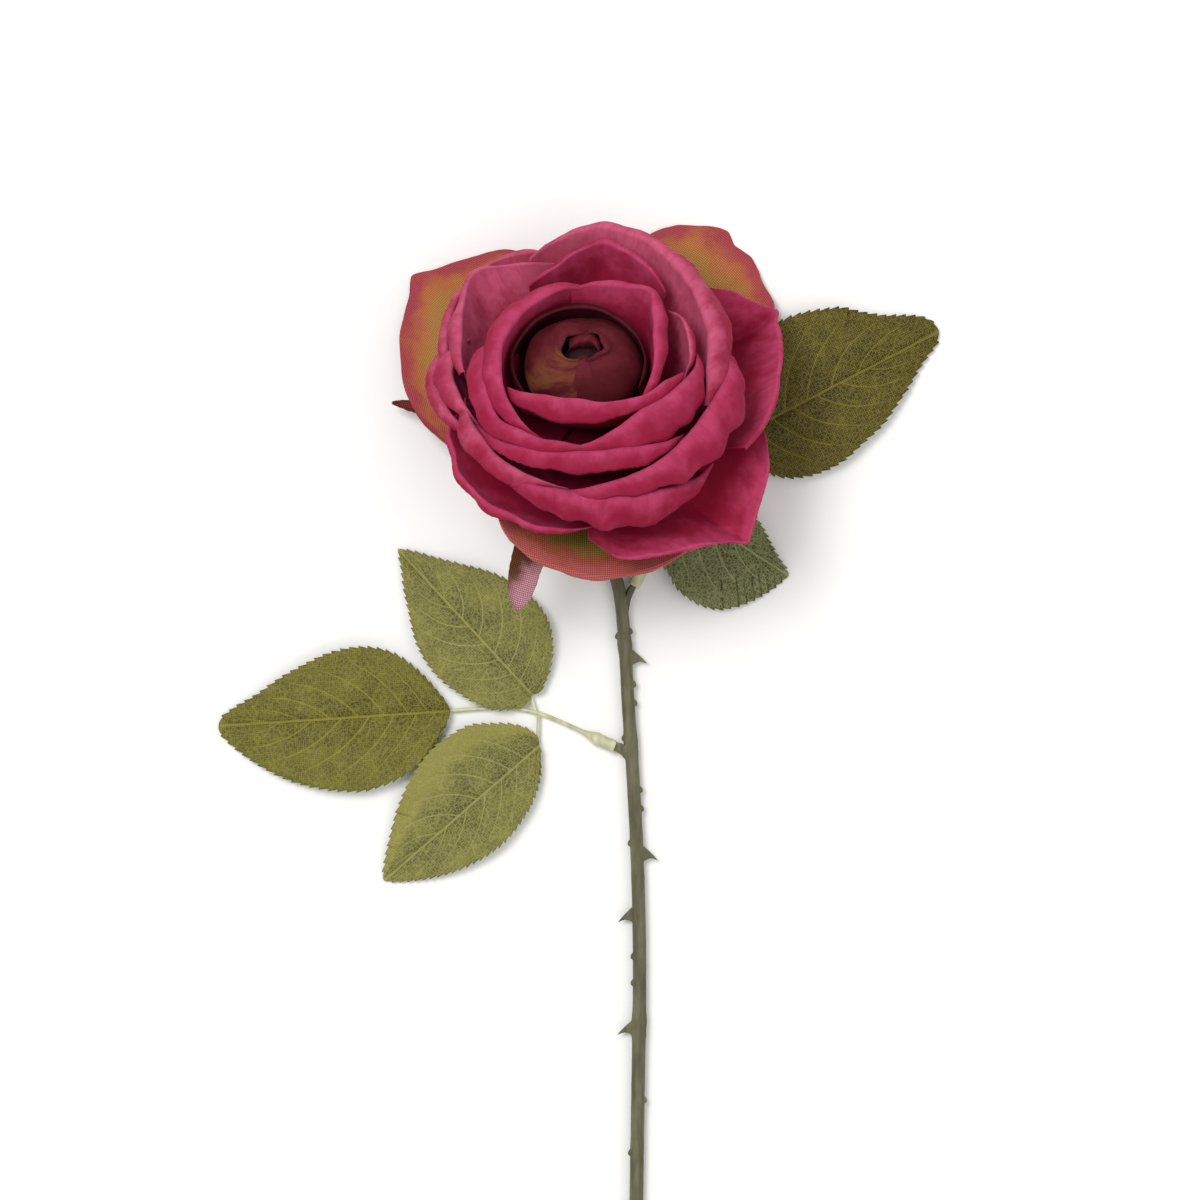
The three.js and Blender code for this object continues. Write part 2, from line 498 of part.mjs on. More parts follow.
add(head, "bud_core", lathe(BUD_CORE, 16), foam);
add(head, "receptacle", lathe([
  [0, pinEnd],
  [SPIGOT_RADIUS, pinEnd],
  [SPIGOT_RADIUS, calyxTop + GAP],
  [lastFoot.x - wall, calyxTop + GAP],
  [lastFoot.x - wall, lastFoot.y - wall],
  [PETAL_FOOT.x - wall, PETAL_FOOT.y + 0.4],
  [0, PETAL_FOOT.y + 1],
], 24), stalkPlastic);
add(head, "calyx_cup", lathe([
  [SPIGOT_RADIUS + GAP, calyxFoot],
  [3, calyxFoot],
  [4.4, calyxFoot + 2.4],
  [7.6, calyxFoot + 5],
  [CALYX_RADIUS, cupTop - 0.8],
  [CALYX_RADIUS - 0.6, cupTop],
  [SPIGOT_RADIUS + GAP, cupTop],
  [SPIGOT_RADIUS + GAP, calyxFoot],
], 24), stemPlastic);

// Cloth calyx: a ring with five lobes, threaded on the receptacle's pin.
const ringHalf = CLOTH / 2;
const sepalRing = lathe([
  [SPIGOT_RADIUS + GAP, sepalHeight - ringHalf],
  [SEPAL_RING_RADIUS, sepalHeight - ringHalf],
  [SEPAL_RING_RADIUS, sepalHeight + ringHalf],
  [SPIGOT_RADIUS + GAP, sepalHeight + ringHalf],
  [SPIGOT_RADIUS + GAP, sepalHeight - ringHalf],
], 24);
add(head, "calyx_sepals", join([sepalRing, ...SEPALS.map((sepal) => sepalGeometry(...sepal))]), sepalCloth);

// ---- Stem and leaf sprays ----
add(rose, "stem", stemGeometry(), stemPlastic);
add(rose, "stem_wire", bar(wireCurve(WIRE_START, 0), () => WIRE_RADIUS, 6, STEM_STEPS), wireSteel);
SPRAYS.forEach((spray) => {
  add(rose, `${spray.name}_leaf_stalk`, stalkGeometry(spray), stalkPlastic);
  spray.leaves.forEach(({ name, base, heading, ...form }) => {
    const length = name === "end" ? END_LEAF_LENGTH : SIDE_LEAF_LENGTH;
    const width = name === "end" ? END_LEAF_WIDTH : SIDE_LEAF_WIDTH;
    const geometry = leafGeometry({ length, width, ...form });
    const leaf = add(rose, `${spray.name}_leaf_${name}`, geometry, leafCloth);
    leaf.position.set(...base, LEAF_HEIGHT);
    leaf.rotation.z = rad(heading);
  });
});

// The origin is under the middle of the whole rose, on the surface that it lies on.
rose.updateMatrixWorld(true);
const bounds = new THREE.Box3().setFromObject(rose, true);
const middle = bounds.getCenter(new THREE.Vector3());
rose.position.set(-middle.x, -middle.y, -bounds.min.z);

export default rose;
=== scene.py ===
"""Cut rose of heat-formed cloth on a moulded plastic stem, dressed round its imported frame.

Lengths in the tables are millimetres, in the part's own layout: the stem runs along -Y on the surface,
and the flower's axis leans from upright towards +Y. Each finished mesh is in metres in the frame.
"""
import json
import math

import bmesh
import bpy
from mathutils import Matrix, Vector, noise

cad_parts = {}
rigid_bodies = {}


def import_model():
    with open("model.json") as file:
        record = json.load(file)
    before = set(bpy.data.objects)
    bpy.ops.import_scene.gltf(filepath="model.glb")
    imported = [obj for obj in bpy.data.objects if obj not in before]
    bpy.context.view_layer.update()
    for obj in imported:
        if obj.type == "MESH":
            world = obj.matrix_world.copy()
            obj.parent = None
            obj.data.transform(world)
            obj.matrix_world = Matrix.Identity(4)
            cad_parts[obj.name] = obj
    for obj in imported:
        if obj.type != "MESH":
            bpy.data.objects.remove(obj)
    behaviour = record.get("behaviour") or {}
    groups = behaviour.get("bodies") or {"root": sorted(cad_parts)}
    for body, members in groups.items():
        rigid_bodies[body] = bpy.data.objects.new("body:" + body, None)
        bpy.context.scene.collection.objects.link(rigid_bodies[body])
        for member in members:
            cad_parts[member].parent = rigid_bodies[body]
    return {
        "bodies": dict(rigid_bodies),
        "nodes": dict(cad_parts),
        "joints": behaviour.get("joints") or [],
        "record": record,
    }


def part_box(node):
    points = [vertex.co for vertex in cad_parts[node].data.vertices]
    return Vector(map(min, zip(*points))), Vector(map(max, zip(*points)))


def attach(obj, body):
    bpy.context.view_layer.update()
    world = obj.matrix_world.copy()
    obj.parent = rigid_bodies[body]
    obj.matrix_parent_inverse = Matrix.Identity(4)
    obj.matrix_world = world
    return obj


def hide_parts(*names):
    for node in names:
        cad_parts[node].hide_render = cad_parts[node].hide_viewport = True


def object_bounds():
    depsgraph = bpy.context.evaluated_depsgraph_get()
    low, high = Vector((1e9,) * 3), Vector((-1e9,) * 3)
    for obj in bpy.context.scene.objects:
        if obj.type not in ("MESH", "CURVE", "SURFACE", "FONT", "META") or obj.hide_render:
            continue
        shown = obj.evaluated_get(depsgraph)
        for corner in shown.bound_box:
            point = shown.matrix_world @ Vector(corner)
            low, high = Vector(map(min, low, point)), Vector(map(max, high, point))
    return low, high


bl_info = {
    "name": "Cloth rose",
    "version": (1, 0, 0),
    "blender": (4, 5, 0),
    "location": "View3D > Sidebar > Rose",
    "description": "Builds a cut cloth rose piece by piece round its frame",
    "category": "Add Mesh",
}

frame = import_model()
cad_box = [list(corner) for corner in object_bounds()]

MM = 0.001

# ---- Place of the flower ----
HEAD_LEAN = math.radians(30)
HEAD_PLACE = Vector((-5, 52, 24))  # foot of the lowest petals in the part's layout
# Profile of the core that carries the petals: radius and height on the flower's axis.
RECEPTACLE = [(0, -15.42), (1.6, -15.42), (1.6, -4.12), (8.98, -4.12), (8.98, -2.32), (2.5, 16.4), (0, 17)]


def layout_shift():
    """Step from the part's layout to the frame, found from where the frame holds the receptacle."""
    cos, sin = math.cos(HEAD_LEAN), math.sin(HEAD_LEAN)
    across = [r * cos * side + h * sin for r, h in RECEPTACLE for side in (-1, 1)]
    up = [h * cos - r * sin * side for r, h in RECEPTACLE for side in (-1, 1)]
    middle = Vector((0, (min(across) + max(across)) / 2, (min(up) + max(up)) / 2))
    low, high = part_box("receptacle")
    return (low + high) / 2 / MM - middle - HEAD_PLACE


SHIFT = layout_shift()
LAYOUT = Matrix.Diagonal((MM, MM, MM, 1)) @ Matrix.Translation(SHIFT)
HEAD = LAYOUT @ Matrix.Translation(HEAD_PLACE) @ Matrix.Rotation(-HEAD_LEAN, 4, "X")


# ---- Flower ----
# Petals from the bud outwards. leave and arrive are the slopes in degrees at the foot and at the
# crest, 90 being straight up; hold is how far each slope carries. A rim point is
# (azimuth in degrees, radius, height, reach of the turned lip) and, where the petal flares more or less
# there than elsewhere, its own arrive.
PETALS = {
    "bud_petal_1": dict(leave=50, arrive=104, hold=.62, rim=[
        (0, 4.6, 41, .3), (34, 3.4, 42.6, 2), (62, 1.6, 43.8, 3.8), (84, 1.2, 43.4, 4.4),
        (104, 1, 44.2, 3.6),
        (134, 1.8, 43.4, 3), (165, 3.6, 42, .5)]),
    "bud_petal_2": dict(leave=40, arrive=150, hold=.8, rim=[
        (70, 4, 43.6, .8), (98, 3.8, 44, 2.2), (130, 4.6, 44.2, 3.4), (146, 6, 43.6, 3.4),
        (170, 6, 43.4, 2.2),
        (190, 6.6, 42.8, 1.6), (215, 6, 42.6, 1), (240, 4.6, 42.2, .6), (262, 3.4, 42, .3)]),
    "bud_petal_3": dict(leave=42, arrive=152, hold=.76, rim=[
        (-128, 4.2, 41.4, .3), (-106, 3.4, 42.4, .6), (-84, 3, 42.8, .7), (-62, 4, 42.4, .6),
        (-44, 5.6, 41, .3)]),
    "bud_petal_4": dict(leave=42, arrive=150, hold=.78, rim=[
        (-82, 4, 42, .3), (-66, 4.4, 42.4, .7), (-36, 4.8, 43.2, 1), (-8, 6.6, 43.6, 1.6),
        (14, 5.4, 44.4, 2),
        (36, 5.6, 44.4, 1.4), (62, 4.2, 44.6, 1), (84, 3.6, 44, .3)]),
    "bud_petal_5": dict(leave=50, arrive=112, hold=.55, rim=[
        (-30, 18.6, 36, .2), (0, 17.8, 37.8, .8), (30, 16.2, 39.2, 1), (60, 15.4, 40, 1.2),
        (90, 15.8, 40, 1.2),
        (118, 16.5, 39.8, 1.2), (149, 18.2, 39, .8), (175, 20.4, 37, .6), (205, 20, 34.6, .3),
        (225, 19, 32, .2)]),
    "inner_petal_1": dict(leave=39, arrive=95, hold=.5, rim=[
        (-45, 23.4, 38.6, .2, 95), (-32, 22.6, 42, 2, 95), (-10, 21, 43.5, 3.4, 95), (10, 21, 43.6, 4, 92),
        (32, 24, 43, 4.6, 86), (43, 27.4, 42.4, 3.6, 76), (47, 27.4, 42.4, 3.4, 73),
        (58, 24.6, 43, 3.2, 72),
        (84, 21, 43.6, 2, 74), (100, 20, 42.6, .3, 78)]),
    "inner_petal_2": dict(leave=39, arrive=95, hold=.5, rim=[
        (-150, 25, 41, .3), (-139, 23.5, 43, 3.2), (-123, 20.5, 44.4, 5.2), (-97, 19.5, 45, 6),
        (-68, 21.3, 44.6, 4.2), (-47, 24.2, 43.9, 3.2), (-26, 27, 43.2, 2.8), (-16, 30, 41.8, .8)]),
    "inner_petal_3": dict(leave=38, arrive=95, hold=.5, rim=[
        (92, 20.5, 43, 1.6), (106, 19.6, 45, 3.4), (132, 19.5, 45.1, 5.4), (161, 21.2, 44.7, 6),
        (184, 23.4, 44.1, 6.2), (208, 26.2, 43.2, 5.4), (226, 28.8, 41.4, 3.4), (240, 30, 38.6, 1.2),
        (250, 29.6, 36, .2)]),
    "middle_petal_1": dict(leave=40, arrive=95, hold=.5, rim=[
        (-12, 30, 37, .2), (-4, 31, 39.5, 1.4), (10, 31, 40.4, 2), (22, 31, 40, 1.4), (34, 30, 37, .2)]),
    "middle_petal_2": dict(leave=40, arrive=95, hold=.5, rim=[
        (-106, 30.4, 34, .2), (-94, 30.8, 38, 1.8), (-84, 30, 40, 3.6), (-72, 28.4, 41.2, 6),
        (-52, 27.2, 42, 8.8),
        (-32, 28.8, 41.6, 8.4), (-18, 31.4, 40.6, 5.4), (-6, 33, 38.8, 2.4), (5, 33, 36, .2)]),
    "middle_petal_3": dict(leave=40, arrive=95, hold=.5, rim=[
        (166, 27, 37, .2), (181, 28.2, 40.6, 4.4), (202, 29.4, 40.4, 5.6), (221, 32.2, 39, 4.8),
        (238, 32, 39.6, 3.8), (254, 31.2, 39.8, 3), (270, 31, 38.6, 1.4), (280, 30.6, 36.4, .2)]),
    "middle_petal_4": dict(leave=40, arrive=82, hold=.5, rim=[
        (123, 29, 38.4, .8), (103, 32, 39, 1.8), (89, 38.6, 37, 2.4), (81, 42.6, 35, 2.6),
        (75, 40.4, 36, 2.6),
        (55, 35.6, 38, 2.4), (44, 33.6, 37, .8)]),
    "middle_petal_5": dict(leave=40, arrive=95, hold=.5, rim=[
        (-152, 36, 30, .2), (-139, 36.6, 33.6, 1.4), (-125, 36, 36.4, 3), (-108, 34.6, 38, 4),
        (-90, 33.2, 39, 5.4),
        (-71, 34, 38.4, 5), (-54, 36.4, 37.2, 3.2), (-40, 38, 34, .4)]),
    "outer_petal_1": dict(leave=35, arrive=85, hold=.5, rim=[
        (104, 35, 36, .4, 72), (122, 40, 35, 2, 64), (131, 45.6, 32.6, 1.6, 60), (135, 46.2, 32, 1.8, 60),
        (148, 41, 34.2, 3.6, 68), (167, 36.6, 35.8, 4.8, 80), (186, 34.6, 35, 2, 86)]),
    "outer_petal_2": dict(leave=35, arrive=85, hold=.5, rim=[
        (114, 38.6, 36, 1.6, 72), (98, 43.6, 35.6, 4, 68), (84, 48.4, 34, 5.2, 66), (69, 47, 34.4, 6.4, 70),
        (50, 42.4, 35.2, 8, 78), (31, 39, 35.8, 8.6, 85), (10, 36.8, 36.4, 8.4, 87),
        (-8, 36.2, 36.2, 6.8, 89),
        (-22, 38, 34, 1.6, 89)]),
    "outer_petal_3": dict(leave=35, arrive=92, hold=.5, rim=[
        (-106, 40.6, 29.4, .2), (-93, 41.8, 32, 1.8), (-75, 41, 34.2, 4.4), (-58, 40.4, 34.6, 6.8),
        (-43, 39.6, 35, 8.8),
        (-29, 39.4, 35.2, 9.4), (-14, 40.4, 34.6, 7.6), (0, 42, 32.8, 4), (12, 42.6, 29.6, .3)]),
    "outer_petal_4": dict(leave=35, arrive=90, hold=.5, rim=[
        (162, 35, 31, .2), (174, 37.6, 32.4, 4.2), (184, 38.4, 32.2, 5.4), (194, 37.4, 32.8, 4.6),
        (208, 36, 32, 1.4),
        (216, 35.4, 30, .2)]),
    "outer_petal_5": dict(leave=35, arrive=90, hold=.5, rim=[
        (195, 35.6, 30.4, .2), (211, 37.6, 32.8, 4.2), (225, 38.4, 32.4, 5.2), (240, 39.4, 32, 4.4),
        (254, 40, 31, 1.6),
        (264, 39.4, 28.6, .2)]),
    "outer_petal_6": dict(leave=35, arrive=86, hold=.5, rim=[
        (-126, 40.4, 26.6, .2), (-115, 41.6, 29.8, 3), (-99, 41.8, 31, 6), (-84, 42.8, 30, 8),
        (-69, 44.2, 28.8, 7.6),
        (-55, 46, 26.6, 5), (-43, 46.6, 23.4, 2), (-34, 46, 20, .2)]),
    "outer_petal_7": dict(leave=30, arrive=75, hold=.5, rim=[
        (126, 44, 25, .4), (137, 48, 24, 3), (150, 44.6, 27, 3.6), (166, 41, 29.2, 3.4),
        (180, 39.6, 28.4, .6)]),
    "outer_petal_8": dict(leave=30, arrive=75, hold=.5, rim=[
        (97, 42, 25, .2), (106, 47, 25, 2.4), (116, 50.5, 23, 2.4), (128, 52, 20, 1.8), (136, 51, 17, .2)]),
    "outer_petal_9": dict(leave=30, arrive=78, hold=.5, rim=[
        (160, 40, 25, .4), (170, 43, 24.4, 3.6), (181, 42.6, 24.8, 4.2), (192, 41, 25.6, 4),
        (210, 38, 26, 1)]),
    "outer_petal_10": dict(leave=30, arrive=58, hold=.5, rim=[
        (196, 38, 24, .4), (204, 42.6, 23.2, 2.4), (212, 43.8, 21.4, 2.2), (219, 46.4, 21.6, 3),
        (227, 46.2, 19.4, 2.4),
        (236, 48, 20.4, 2.8), (245, 46.6, 18.4, 2), (254, 47.6, 18.2, 1.8), (268, 45.4, 16, .8),
        (284, 42, 14, .2)]),
    "outer_petal_11": dict(leave=28, arrive=35, hold=.45, rim=[
        (45, 48, 24, .2), (38, 57, 19, 1.4), (34, 62, 14, 1.2), (31, 68, 9, .8), (28, 65, 11, 1.6),
        (20, 62, 14, 2.6), (7, 57.8, 18.6, 3),
        (-10, 54.8, 22, 3), (-25, 52, 23, 1.4)]),
    "outer_petal_12": dict(leave=25, arrive=25, hold=.45, rim=[
        (-6, 52, 15, .2), (-20, 58, 12, 1.2), (-33, 61, 8.4, 1.6), (-39, 63.4, 5.6, 1),
        (-41.5, 64.6, 4.6, .8), (-45, 62, 6.6, 1.2),
        (-54, 58.4, 11, 1.8), (-68, 56.3, 13.5, 1.8), (-79, 54.3, 14, 1.4), (-88, 48, 15, .2)]),
    "guard_petal_1": dict(leave=12, arrive=-15, hold=.45, rim=[
        (-127, 42, 6, .2, 20), (-117, 47, 5, 2.4, 10), (-106, 49.4, 3.4, 3.6, 0), (-94, 51, 2, 4, 0),
        (-83, 52.6, .6, 3.6, 0),
        (-69, 53, .4, 3, 0), (-53, 53, 0, .4, 10)]),
    "guard_petal_2": dict(leave=6, arrive=5, hold=.4, rim=[
        (98, 56, 6, .2), (112, 63, 7.6, .6), (122, 66, 6.6, .6), (131, 70, 4.6, .6), (135, 73.6, 3.4, .5),
        (139, 70, 2, .6), (147, 65.6, -.8, .6),
        (158, 59, -5, .7), (170, 51, -7, .7), (182, 41, -8, .2)]),
    "guard_petal_3": dict(leave=8, arrive=5, hold=.4, rim=[
        (80, 56, 7, .2), (73, 65, 9.4, .6), (66, 71, 11, .6), (60, 75, 10.4, .6), (55.5, 77.6, 9, .6),
        (53, 75.6, 7.6, .6), (48, 76.4, 5.6, .6),
        (43, 73.6, 3.6, .6), (37, 72, 1.6, .6), (32, 68, .6, .6), (26, 58, 0, .2)]),
}
PETAL_FOOT = Vector((3, 16))  # radius and height of the innermost petal's foot
PETAL_PITCH = Vector((0.24, -0.66))  # step outward and down to the next petal's foot
PETAL_COLUMNS = 92
BODY_ROWS = 34
LIP_ROWS = 18
CREST_SHARE = 0.62  # place of the crest on a petal's "place" map, from 0 at the foot to 1 at the lip

# ---- Leaves ----
# Outlines as cut, [along the midrib, distance from it], base to tip, for the left and the right half.
# lift is the base's height over the tip, arch the rise of the middle, cup the rise of the margin.
LEAVES = {
    "left_leaf_end": dict(
        base=(-45.6, -33.7), heading=183.7, length=70.6, lift=2.6, arch=1.8, cup=1.6, bend=0,
        left=[(0, 0), (1, 3), (4.3, 8.6), (9.3, 14.3), (15.2, 18.6), (20.9, 21), (26.7, 22.4), (35, 22),
              (44.2, 20), (50.6, 17.6), (57.7, 13.6), (63.9, 9), (68.3, 4.8), (70.4, 2), (70.6, 0)],
        right=[(0, 0), (1, 2.6), (4.2, 7.2), (9.4, 13.6), (14.7, 18), (19.5, 20.2), (24.3, 21.1),
               (34.1, 20.3),
               (43.6, 16.8), (51.3, 13.1), (58.2, 8.9), (66, 4.9), (69.6, 2.4), (70.6, 0)]),
    "left_leaf_upper": dict(
        base=(-20.8, -28.6), heading=132.7, length=60, lift=2.4, arch=1.8, cup=1.5, bend=0,
        left=[(0, 0), (-1, 3.4), (.8, 7.6), (3.9, 11.3), (8.5, 13.8), (16.3, 16.3), (22.1, 17.2),
              (29.2, 16.8),
              (35.7, 14.9), (43.9, 10.3), (49.6, 7), (54.4, 3.6), (58.5, 1), (60, 0)],
        right=[(0, 0), (-1.2, 2.6), (0, 5.8), (3.2, 11.3), (7.5, 15.6), (12.8, 18.8), (19.9, 20.1),
               (26.4, 19.4),
               (35.7, 16), (43.6, 11), (51.6, 5.9), (55.8, 3.4), (59, 1), (60, 0)]),
    "left_leaf_lower": dict(
        base=(-18.6, -44.4), heading=221, length=62.5, lift=2.4, arch=1.8, cup=1.5, bend=0,
        left=[(0, 0), (.6, 1.6), (2.1, 3.1), (5.8, 7.3), (11.4, 11), (19.5, 13.9), (27.9, 15.1),
              (37.9, 13.9),
              (47.4, 10.6), (55.6, 5.9), (61, 1.6), (62.5, 0)],
        right=[(0, 0), (-1.3, 2), (-1.3, 5), (1.9, 10.6), (6.7, 15), (11.2, 18.4), (18.2, 20.2),
               (23.9, 20.7),
               (31, 19.6), (38.1, 17.1), (44.5, 14), (51.7, 9.2), (58.6, 4.1), (61.6, 1.4), (62.5, 0)]),
    "right_leaf_end": dict(
        base=(41.5, 49.4), heading=27.7, length=69.6, lift=2.6, arch=2, cup=1, bend=0,
        left=[(0, 0), (.6, 3), (3.4, 9), (8.5, 15.5), (15, 20.8), (22, 23.8), (29.3, 25), (34.4, 24.3),
              (42.2, 21.9), (46.2, 20.3), (50.8, 16.5), (56.5, 12.3), (62.8, 9), (67.6, 5.8), (69.4, 3),
              (69.6, 0)],
        right=[(0, 0), (.4, 5), (1.6, 10), (3.8, 14.5), (7.5, 17.9), (11.9, 20), (19, 21.5), (25.4, 21.4),
               (33.5, 19.3), (40.9, 17.3), (47.4, 14), (54, 10.4), (58.7, 7.4), (63.2, 5), (67.4, 3),
               (69.6, 0)]),
    "right_leaf_lower": dict(
        base=(9.8, 37.6), heading=-32.4, length=56.4, lift=2.8, arch=3, cup=1, bend=0,
        left=[(0, 0), (1, 4), (4, 9), (10, 14), (18, 16.4), (27, 14.6), (35, 11), (41.8, 8.1), (46.2, 5.6),
              (51.4, 2.8), (55.6, .8), (56.4, 0)],
        right=[(0, 0), (1, 4), (4, 9.6), (10, 14), (18, 17), (25.8, 19.4), (29.1, 21.4), (33.7, 22.2),
               (38.6, 22), (44.1, 20), (48.2, 16.2), (52.4, 10), (55, 4.4), (56.4, 0)]),
    "right_leaf_hidden": dict(
        base=(14.6, 41.4), heading=80, length=60.5, lift=2.6, arch=.6, cup=.6, bend=0,
        left=[(0, 0), (.6, 4), (4, 10), (10, 15), (18, 17.8), (26, 17.6), (36, 14.4), (46, 9), (54, 4),
              (59, 1), (60.5, 0)],
        right=[(0, 0), (.6, 4), (4, 10), (10, 15), (18, 17.8), (26, 17.6), (36, 14.4), (46, 9), (54, 4),
               (59, 1), (60.5, 0)]),
}
LEAF_HEIGHT = 0.5  # height of a leaf's tip above the surface
TOOTH_ROWS = 5  # mesh rows in one saw tooth
LEAF_TEETH = 31
LEAF_COLUMNS = 44  # across the whole leaf

# ---- Stem and stalks ----
STEM_ROUTE = [
    (-5, 45.25, 12.31), (-5, 42.64, 7.79), (-4.2, 36, 5.2), (-1.5, 26, 3.6), (2.6, 14, 2.9), (5.6, 4, 2.6),
    (7.4, -12, 2.5),
    (8.6, -32, 2.4), (9.8, -50, 2.4), (11.2, -76, 2.4), (12, -121, 2.4), (11.8, -134, 2.4),
    (11.1, -179, 2.3),
    (10.2, -240, 2.3), (10.6, -301, 2.3)]
# Hooked thorns: (distance below the neck, side with 1 for +X, length, foot's height on the stem).
THORNS = [(21, 1, 4.6, 5), (63.5, 1, 4.4, 4.6), (124, 1, 4.2, 4.6), (142, -1, 4.4, 5), (177, -1, 4.6, 5)]
# Small buds where no thorn was formed: (distance, side).
NUBS = [(31, 1), (56, 1), (57.5, -1), (71.5, 1), (78, 1), (88, -1), (104, 1), (110, 1), (120, -1),
        (155, -1),
        (163, -1), (198, 1), (214, -1), (236, 1), (251, -1), (272, 1)]
SPRAYS = {
    "left": dict(
        peg=[(9.4, -46.6, 2.4), (1.6, -43.4, 2.2)],
        sleeve=[(4.6, -44.6, 2.3), (1, -43.1, 2.2), (-4.6, -40.4, 1.9)],
        stalk=[(-12.1, -37, 1.4), (-19.7, -34.1, 1.3), (-27.3, -32.9, 1.3), (-36.4, -33, 1.4),
               (-46, -33.7, 1.6)],
        sides=[[(-19.5, -34, 1.35), (-20.3, -31.5, 1.4), (-21, -28.8, 1.5)],
               [(-18.7, -34.5, 1.35), (-18.8, -38, 1.4), (-18.9, -44.6, 1.4)]]),
    "right": dict(
        peg=[(7.2, -1.4, 2.5), (11.8, 7.2, 2.3)],
        sleeve=[(10.2, 4.2, 2.4), (12, 7.6, 2.3), (13.4, 14, 1.9)],
        stalk=[(12.6, 22, 1.3), (12.2, 33.4, 1.3), (20, 42, 1.3), (32, 46.5, 1.4), (42.5, 49.6, 1.6)],
        sides=[[(12.2, 32, 1.3), (9.6, 37.8, 1.4)], [(13, 35, 1.3), (14.4, 41.6, 1.4)]]),
}
# Lobes of the calyx in the flower's layout: (azimuth, reach, height of the tip).
SEPALS = [(165, 60, -12, 0, 2), (250, 58, -16, -2.6, 9), (322, 44, -10, 0, 3), (34, 42, -9, 0, 3),
          (98, 34, -3, 0, 3)]


# ---- Colours ----
def linear(code):
    """Linear red, green, blue and full cover from an sRGB hex code."""
    parts = [int(code[i:i + 2], 16) / 255 for i in (1, 3, 5)]
    return (*[p / 12.92 if p <= 0.04045 else ((p + 0.055) / 1.055) ** 2.4 for p in parts], 1)


def colour(name, description, code):
    return bpy.props.FloatVectorProperty(
        name=name, description=description, default=linear(code), size=4, min=0, max=1, subtype="COLOR")


def length(name, description, millimetres):
    return bpy.props.FloatProperty(
        name=name, description=description, default=millimetres * MM, min=0, unit="LENGTH")


# ---- Settings ----
class RosePetalSettings(bpy.types.PropertyGroup):
    """Cloth and dyes of the flower, with the lip and side colours that carry painted light and painted shade."""
    cloth: length("Cloth", "Thickness of the starched petal cloth", 0.34)
    thread: length("Thread pitch", "Distance from one thread of the weave to the next", 0.62)
    deep: colour("Deep dye", "Colour at the petals' feet", "#84082A")
    middle: colour("Middle dye", "Colour on the petals' sides", "#941A3C")
    # Side colour of the petals away from the light: painted shade.
    painted_shade_middle: colour("Middle with painted shade", "Colour on the sides with painted shade, on the petals away from the light", "#8C1636")
    lip: colour("Lip dye and painted highlight", "Colour of the turned lips, partly a painted highlight", "#BA4268")
    # Lip colour of the petals towards the light: painted light.
    painted_light_lip: colour("Lip with painted light", "Colour of the lips with painted light, on the petals towards the light", "#C85A7A")
    bud: colour("Bud dye", "Colour of the innermost petals", "#521018")
    bud_flush: colour("Bud flush", "Brown flush on the bud's front", "#78422C")
    guard: colour("Guard dye", "Gold brown of the lowest petals", "#D4864E")
    guard_margin: colour("Guard margin", "Pink margin of the lowest petals", "#C4545A")


class RoseLeafSettings(bpy.types.PropertyGroup):
    """Cloth and print of the leaves."""
    cloth: length("Cloth", "Thickness of the stiffened leaf cloth", 0.36)
    tooth: length("Tooth", "Depth of the margin's saw teeth", 0.95)


class RoseStemSettings(bpy.types.PropertyGroup):
    """Moulded stem and leaf stalks."""
    top_radius: length("Top radius", "Radius of the stem below the flower", 1.95)
    end_radius: length("End radius", "Radius of the stem at the cut end", 2.25)
    stalk_radius: length("Stalk radius", "Radius of a leaf stalk", 0.75)
    stem: colour("Stem green", "Colour of the moulded stem", "#56533B")
    stalk: colour("Stalk green", "Colour of the pale leaf stalks", "#D8D8B4")


class RoseStageSettings(bpy.types.PropertyGroup):
    """Floor, lights and camera."""
    floor: colour("Floor", "Colour of the floor", "#F7F6F4")
    camera_height: length("Camera height", "Height of the camera over the floor", 1400)
    sky: bpy.props.FloatProperty(name="Sky", description="Strength of the light from all round",
                                 default=0.6, min=0)
    key: bpy.props.FloatProperty(
        name="Key light", description="Power of the large soft light", default=13, min=0, unit="POWER")


# ---- Materials ----
def node(tree, kind, inputs=None, **settings):
    """Adds a node, gives it its settings, and links or fills its inputs."""
    made = tree.nodes.new(kind)
    for name, value in settings.items():
        setattr(made, name, value)
    for socket, value in (inputs or {}).items():
        if isinstance(value, bpy.types.NodeSocket):
            tree.links.new(value, made.inputs[socket])
        else:
            made.inputs[socket].default_value = value
    return made


def new_material(name):
    """Empty node material with its shader, and the tree they are in."""
    material = bpy.data.materials.new(name)
    material.use_nodes = True
    tree = material.node_tree
    tree.nodes.clear()
    shader = node(tree, "ShaderNodeBsdfPrincipled")
    node(tree, "ShaderNodeOutputMaterial", {"Surface": shader.outputs[0]})
    return material, tree, shader


def weave(tree, pitch):
    """Height of a plain weave on the cloth map: rows of threads that pass over and under each other."""
    cloth = node(tree, "ShaderNodeUVMap", uv_map="cloth").outputs[0]
    bands = math.pi / 10 / pitch  # wave texture scale for one thread per pitch
    threads = [
        node(tree, "ShaderNodeTexWave", {"Vector": cloth, "Scale": bands, "Distortion": 0},
             wave_type="BANDS",
             bands_direction=way).outputs["Fac"]
        for way in ("X", "Y")]
    return node(tree, "ShaderNodeMath", {0: threads[0], 1: threads[1]}, operation="MULTIPLY").outputs[0]


def blend(tree, share, first, second, mode="MIX"):
    return node(tree, "ShaderNodeMix", {0: share, 6: first, 7: second}, data_type="RGBA",
                blend_type=mode).outputs[2]


def ramp(tree, value, low, high, first=0, last=1):
    """Value carried from low..high to first..last, smooth and held at both ends."""
    made = node(tree, "ShaderNodeMapRange", {0: value, 1: low, 2: high, 3: first, 4: last},
                interpolation_type="SMOOTHSTEP")
    return made.outputs[0]


def sum_of(tree, first, second, operation="ADD"):
    return node(tree, "ShaderNodeMath", {0: first, 1: second}, operation=operation).outputs[0]


